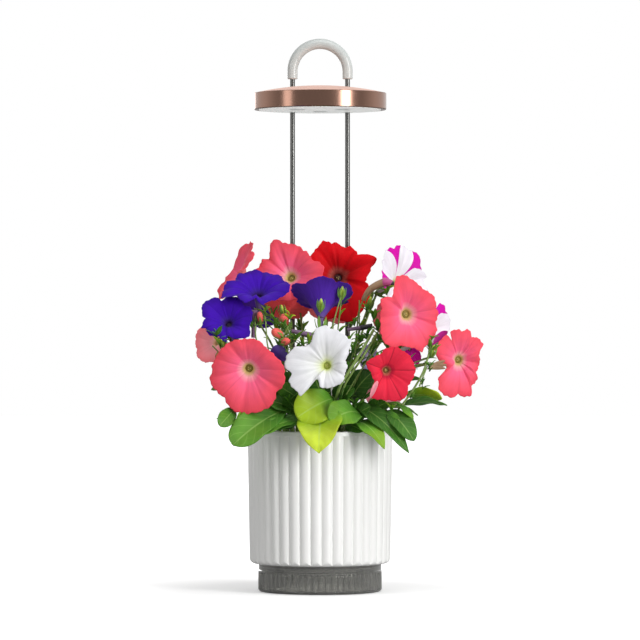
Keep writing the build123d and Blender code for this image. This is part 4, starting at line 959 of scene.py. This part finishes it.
def make_blooms(blank, finishes):
    dark_veins = {"crimson": 0.5, "coral": 0.1, "violet": 0.2, "red": 0.1}
    faces = {name: petal_face(f"petunia_petal_{name}", colours, name == "striped", dark_veins.get(name, 0.03))
             for name, colours in PALETTES.items()}
    hearts = {name: downy(f"petunia_heart_{name}", colours[0]) for name, colours in PALETTES.items()}
    backs = {name: petal_back(f"petunia_petal_back_{name}", colours) for name, colours in PALETTES.items()}
    for number, (node, spec) in enumerate(BLOOMS.items()):
        palette, centre, azimuth, elevation, radius, _, funnel = spec[:7]
        mesh = blank.copy()
        shape_bloom(mesh, node, spec, random.Random(100 + number))
        petals = new_piece(f"{node}_petals", mesh)
        fill_slots(petals, faces[palette], backs[palette])
        apply_modifier(petals, "SOLIDIFY", thickness=PETAL_THICKNESS * MM, offset=-1.0, material_offset=1,
                       material_offset_rim=0)
        smooth(petals)
        side, up, look = bloom_axes(azimuth, elevation)
        throat = Vector(centre) - look * (funnel * radius + 1.5)
        cushion = seed_ball(throat - look * 1.0, (0.105 * radius, 0.105 * radius, 1.6), look, "heart_cushion")
        paint_all(cushion, hearts[palette])
        heart = [cushion]
        for grain in range(3):
            turn = math.tau * grain / 3 + number
            spot = throat + look * 0.6 + (side * math.cos(turn) + up * math.sin(turn)) * 0.03 * radius
            heart.append(seed_ball(spot, (0.55, 0.55, 0.8), look, "anther"))
            paint_all(heart[-1], hearts[palette] if palette == "violet" else finishes["pollen"])
        tail = bloom_tail(spec)
        calyx = sepal_ring(tail - look * 1.0, look, 15.0, 3.8, 0.34)
        calyx.append(seed_ball(tail, (2.3, 2.3, 4.2), look, "calyx_cup"))
        paint_each(calyx, finishes["sepal"])
        piece = join(f"{node}_flower", [petals] + heart + calyx)
        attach(piece, "basket")
        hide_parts(node)


def make_leaves(blade_finish):
    for node, rows in LEAVES.items():
        blades = [leaf_blade(*row) for row in rows]
        paint_each(blades, blade_finish)
        piece = join(f"{node}_blades", blades)
        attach(piece, "basket")
        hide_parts(node)


def stem_group(root):
    if root[1] > 6:
        return "stems_rear"
    return "stems_right" if root[0] > 0 else "stems_left"


def bract_leaves(line, count, dice):
    """Small narrow leaves at random places along the upper part of a stem."""
    blades = []
    for number in range(count):
        place = dice.uniform(0.5, 0.96) * (len(line) - 1)
        low = min(int(place), len(line) - 2)
        spot = line[low].lerp(line[low + 1], place - low)
        way = (line[low + 1] - line[low]).normalized()
        turn = dice.uniform(0, math.tau)
        side = Vector((math.cos(turn), math.sin(turn), 0))
        length = dice.uniform(11, 21)
        tip = spot + (way * 0.8 + side * dice.uniform(0.5, 0.9)).normalized() * length
        blades.append(leaf_blade(spot, tip, length * dice.uniform(0.2, 0.34), 1.5, dice.uniform(-30, 30),
                                 dice.uniform(0.3, 0.75), "narrow", 10, 4, thickness=SEPAL_THICKNESS))
    return blades


def make_stems(finishes, blade_finish):
    dice = random.Random(7)
    groups = {"stems_left": [], "stems_right": [], "stems_rear": []}
    bracts = {name: [] for name in groups}
    for spec in BLOOMS.values():
        root = spec[-1]
        line = arched_points((*root, MEDIUM_TOP - 2), bloom_tail(spec))
        groups[stem_group(root)].append((line, STEM_RADIUS, STEM_RADIUS * 0.75))
        bracts[stem_group(root)] += bract_leaves(line, 5, dice)
    for tip, azimuth, elevation, root in BUDS:
        tail = Vector(tip) - facing(azimuth, elevation) * 11
        line = arched_points((*root, MEDIUM_TOP - 2), tail)
        groups[stem_group(root)].append((line, 1.0, 0.7))
        bracts[stem_group(root)] += bract_leaves(line, 5, dice)
    for rows in LEAVES.values():
        for base, *_ in rows:
            root = (base[0] * 0.35, base[1] * 0.35)
            line = arched_points((*root, MEDIUM_TOP - 2), base)
            groups[stem_group(root)].append((line, 1.4, 1.0))
    for name, lines in groups.items():
        tubes = stem_tubes(f"{name}_tubes", lines)
        paint_all(tubes, finishes["stem"])
        paint_each(bracts[name], blade_finish)
        piece = join(f"{name}_sprigs", [tubes] + bracts[name])
        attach(piece, "basket")
        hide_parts(name)


def make_buds(finishes):
    pieces = []
    for tip, azimuth, elevation, _ in BUDS:
        look = facing(azimuth, elevation)
        body = seed_ball(Vector(tip) - look * 4.5, (2.1, 2.1, 7.4), look, "bud_body")
        paint_all(body, finishes["bud"])
        sepals = sepal_ring(Vector(tip) - look * 11, look, 12.5, 2.8, 0.2)
        paint_each(sepals, finishes["sepal"])
        pieces += [body] + sepals
    piece = join("buds_and_sepals", pieces)
    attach(piece, "basket")
    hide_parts("buds")


def make_coral_buds(finishes):
    """Buds that are about to open, each in its ring of sepals."""
    pieces = []
    for centre, radii, azimuth, elevation in CORAL_BUDS:
        look = facing(azimuth, elevation)
        body = seed_ball(centre, radii, look, "coral_bud_body")
        paint_all(body, finishes["coral_bud"])
        sepals = sepal_ring(Vector(centre) - look * radii[2], look, radii[2] * 1.5, 2.6, 0.35)
        paint_each(sepals, finishes["sepal"])
        pieces += [body] + sepals
    piece = join("half_open_buds", pieces)
    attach(piece, "basket")


def make_faded_flowers(finishes):
    """Rolled-up flowers past their bloom, dry leaves, a turned petal edge and a violet petal in the shade."""
    pieces = []
    for number, (finish, line, thick, thin) in enumerate(FADED):
        tube = stem_tubes(f"faded_{number}", [(line, thick, thin)])
        paint_all(tube, finishes[finish])
        pieces.append(tube)
    for finish, *row in DRY_BLADES:
        blade = leaf_blade(*row)
        paint_all(blade, finishes[finish])
        pieces.append(blade)
    piece = join("faded_flowers", pieces)
    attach(piece, "basket")


def make_undergrowth(finishes, blade_finish):
    """Low leaves above the rim, bare stems and tufts of narrow leaves between the flowers."""
    dice = random.Random(23)
    stems = stem_tubes("bare_stems", [(line, thick * 0.8, thick) for thick, line in BARE_STEMS])
    paint_all(stems, finishes["stem"])
    blades = [leaf_blade(*row) for row in LOW_LEAVES]
    for tuft in TUFTS:
        blades += leaf_tuft(*tuft, dice)
    paint_each(blades, blade_finish)
    piece = join("undergrowth", [stems] + blades)
    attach(piece, "basket")


def make_granules():
    """Clay granules on top of the growing medium."""
    dice = random.Random(19)
    deselect()
    bpy.ops.mesh.primitive_ico_sphere_add(subdivisions=2, radius=1.0)
    master = bpy.context.view_layer.objects.active
    shape = points_of(master.data)
    granules = []
    for _ in range(GRANULE_COUNT):
        reach, turn = GRANULE_REACH * math.sqrt(dice.random()), dice.uniform(0, math.tau)
        x, y = reach * math.cos(turn), reach * math.sin(turn)
        if y > BASKET_BACK:
            continue
        size = dice.uniform(2.4, 4.2)
        mesh = master.data.copy()
        bumps = np.array([1 + 0.12 * math.sin(9 * p[0] + 7 * p[1] + 5 * p[2] + turn) for p in shape])
        points = shape * bumps[:, None] * np.array((size, size * dice.uniform(0.75, 1), size * 0.8))
        set_points(mesh, (points + np.array((x, y, MEDIUM_TOP + size * 0.3))) * MM)
        granule = new_piece("granule", mesh)
        smooth(granule)
        granules.append(granule)
    bpy.data.objects.remove(master)
    piece = join("clay_granules", granules)
    paint_all(piece, mottled("fired_clay_granule", "#5A3C2A", 0.3, 8, 2.0, 0.8, Roughness=0.9))
    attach(piece, "basket")


# ---------------------------------------------------------------- stage, light and camera
def lit_floor():
    """Pale floor that keeps the contact shadow and fades to plain white away from the garden.

    Only the camera sees its glow: metal and the clear tank meet a plain grey floor.
    """
    deselect()
    bpy.ops.mesh.primitive_plane_add(size=FLOOR_SIZE)
    floor = bpy.context.view_layer.objects.active
    floor.name = "floor"
    material = bpy.data.materials.new("matte_white_floor")
    material.use_nodes = True
    tree = material.node_tree
    tree.nodes.clear()
    path = add_node(tree, "ShaderNodeLightPath")
    place = add_node(tree, "ShaderNodeTexCoord")
    away = add_node(tree, "ShaderNodeVectorMath", {0: place.outputs["Object"]}, operation="LENGTH")
    lift = add_node(tree, "ShaderNodeMapRange", {"Value": away.outputs["Value"], "From Min": SHADOW_NEAR,
                                                 "From Max": SHADOW_FAR, "To Min": 0.39, "To Max": 1.0})
    paper = add_node(tree, "ShaderNodeBsdfDiffuse", {"Color": (0.8, 0.8, 0.8, 1)})
    plain = add_node(tree, "ShaderNodeBsdfDiffuse", {"Color": (0.45, 0.45, 0.45, 1)})
    glow = add_node(tree, "ShaderNodeEmission", {"Color": (1, 1, 1, 1), "Strength": lift.outputs["Result"]})
    lifted = add_node(tree, "ShaderNodeAddShader", {0: paper.outputs[0], 1: glow.outputs[0]})
    mixed = add_node(tree, "ShaderNodeMixShader", {0: path.outputs["Is Camera Ray"], 1: plain.outputs[0],
                                                   2: lifted.outputs[0]})
    add_node(tree, "ShaderNodeOutputMaterial", {"Surface": mixed.outputs[0]})
    fill_slots(floor, material)


def studio_world():
    """Even pale surroundings: white to the eye, plainer as light, dimmer in front for metal."""
    world = bpy.data.worlds.new("studio")
    bpy.context.scene.world = world
    world.use_nodes = True
    tree = world.node_tree
    tree.nodes.clear()
    path = add_node(tree, "ShaderNodeLightPath")
    way = add_node(tree, "ShaderNodeTexCoord")
    axes = add_node(tree, "ShaderNodeSeparateXYZ", {"Vector": way.outputs["Generated"]})
    behind = add_node(tree, "ShaderNodeMapRange", {"Value": axes.outputs["Y"], "From Min": -0.25,
                                                   "From Max": 0.35, "To Min": 0.42, "To Max": 1.0})
    above = add_node(tree, "ShaderNodeMapRange", {"Value": axes.outputs["Z"], "From Min": 0.25,
                                                  "From Max": 0.8, "To Min": 0.0, "To Max": 1.0})
    mirrored = add_node(tree, "ShaderNodeMath", {0: behind.outputs["Result"], 1: above.outputs["Result"]},
                        operation="MAXIMUM")
    light = add_node(tree, "ShaderNodeBackground", {"Color": (1, 1, 1, 1), "Strength": 0.41})
    seen = add_node(tree, "ShaderNodeBackground", {"Color": (1, 1, 1, 1), "Strength": 1.0})
    gloss = add_node(tree, "ShaderNodeBackground", {"Color": (1, 1, 1, 1),
                                                    "Strength": mirrored.outputs["Value"]})
    first = add_node(tree, "ShaderNodeMixShader", {0: path.outputs["Is Glossy Ray"], 1: light.outputs[0],
                                                   2: gloss.outputs[0]})
    through = add_node(tree, "ShaderNodeMath", {0: path.outputs["Is Camera Ray"],
                                                1: path.outputs["Is Transmission Ray"]}, operation="MAXIMUM")
    last = add_node(tree, "ShaderNodeMixShader", {0: through.outputs["Value"], 1: first.outputs[0],
                                                  2: seen.outputs[0]})
    add_node(tree, "ShaderNodeOutputWorld", {"Surface": last.outputs[0]})


def soft_box(name, azimuth, distance, height, width, tall, watts):
    lamp = bpy.data.lights.new(name, "AREA")
    lamp.shape = "RECTANGLE"
    lamp.size, lamp.size_y, lamp.energy = width, tall, watts
    box = bpy.data.objects.new(name, lamp)
    bpy.context.scene.collection.objects.link(box)
    turn = math.radians(azimuth)
    box.location = (distance * math.sin(turn), -distance * math.cos(turn), height)
    aim = Vector((0, 0, AIM_HEIGHT)) - box.location
    box.rotation_euler = aim.to_track_quat("-Z", "Y").to_euler()


def studio_lights():
    soft_box("key_box", 45.0, LIGHT_DISTANCE, 0.75, 0.75, 1.8, 51.0)
    soft_box("side_box", -57.6, LIGHT_DISTANCE, 0.75, 0.7, 1.8, 9.5)
    soft_box("top_box", 20.0, 0.9, 2.2, 1.4, 1.4, 15.0)
    soft_box("back_box", 200.0, LIGHT_DISTANCE, 0.42, 0.9, 0.8, 5.0)


def camera():
    eye = bpy.data.cameras.new("camera")
    eye.sensor_width = SENSOR_WIDTH
    eye.lens = LENS_LENGTH
    piece = bpy.data.objects.new("camera", eye)
    bpy.context.scene.collection.objects.link(piece)
    piece.location = (0, -CAMERA_DISTANCE, CAMERA_HEIGHT)
    piece.rotation_euler = (math.radians(90), 0, 0)
    bpy.context.scene.camera = piece


# ---------------------------------------------------------------- the whole garden
camera()
studio_world()
studio_lights()
lit_floor()
paint_hardware()
PLANT = {
    "sepal": downy("petunia_sepal", "#6E9838"),
    "stem": downy("petunia_stem", "#7E9A4C"),
    "bud": downy("petunia_bud", "#AEC84A"),
    "pollen": downy("pale_pollen", "#C8C070"),
    "coral_bud": downy("coral_petunia_bud", "#EE6258"),
    "faded_violet": downy("faded_violet_petal", "#7A5C7C"),
    "faded_brown": downy("faded_brown_petal", "#A88868"),
    "faded_magenta": downy("faded_magenta_petal", "#C0508C"),
    "faded_dark": downy("dried_dark_petal", "#2A2630"),
    "faded_pale": downy("dried_pale_petal", "#B8B2B6"),
    "turned_edge": downy("pink_petal_underside", "#EC8E9C"),
    "striped_edge": downy("magenta_petal_stripe", "#C4109C"),
    "shaded_violet": downy("shaded_violet_petal", "#3E1E7E"),
}
BLADE = leaf_blade_finish()
make_blooms(tube_blank(), PLANT)
make_leaves(BLADE)
make_stems(PLANT, BLADE)
make_buds(PLANT)
make_coral_buds(PLANT)
make_faded_flowers(PLANT)
make_undergrowth(PLANT, BLADE)
make_granules()
bpy.context.scene.view_settings.view_transform = "Standard"
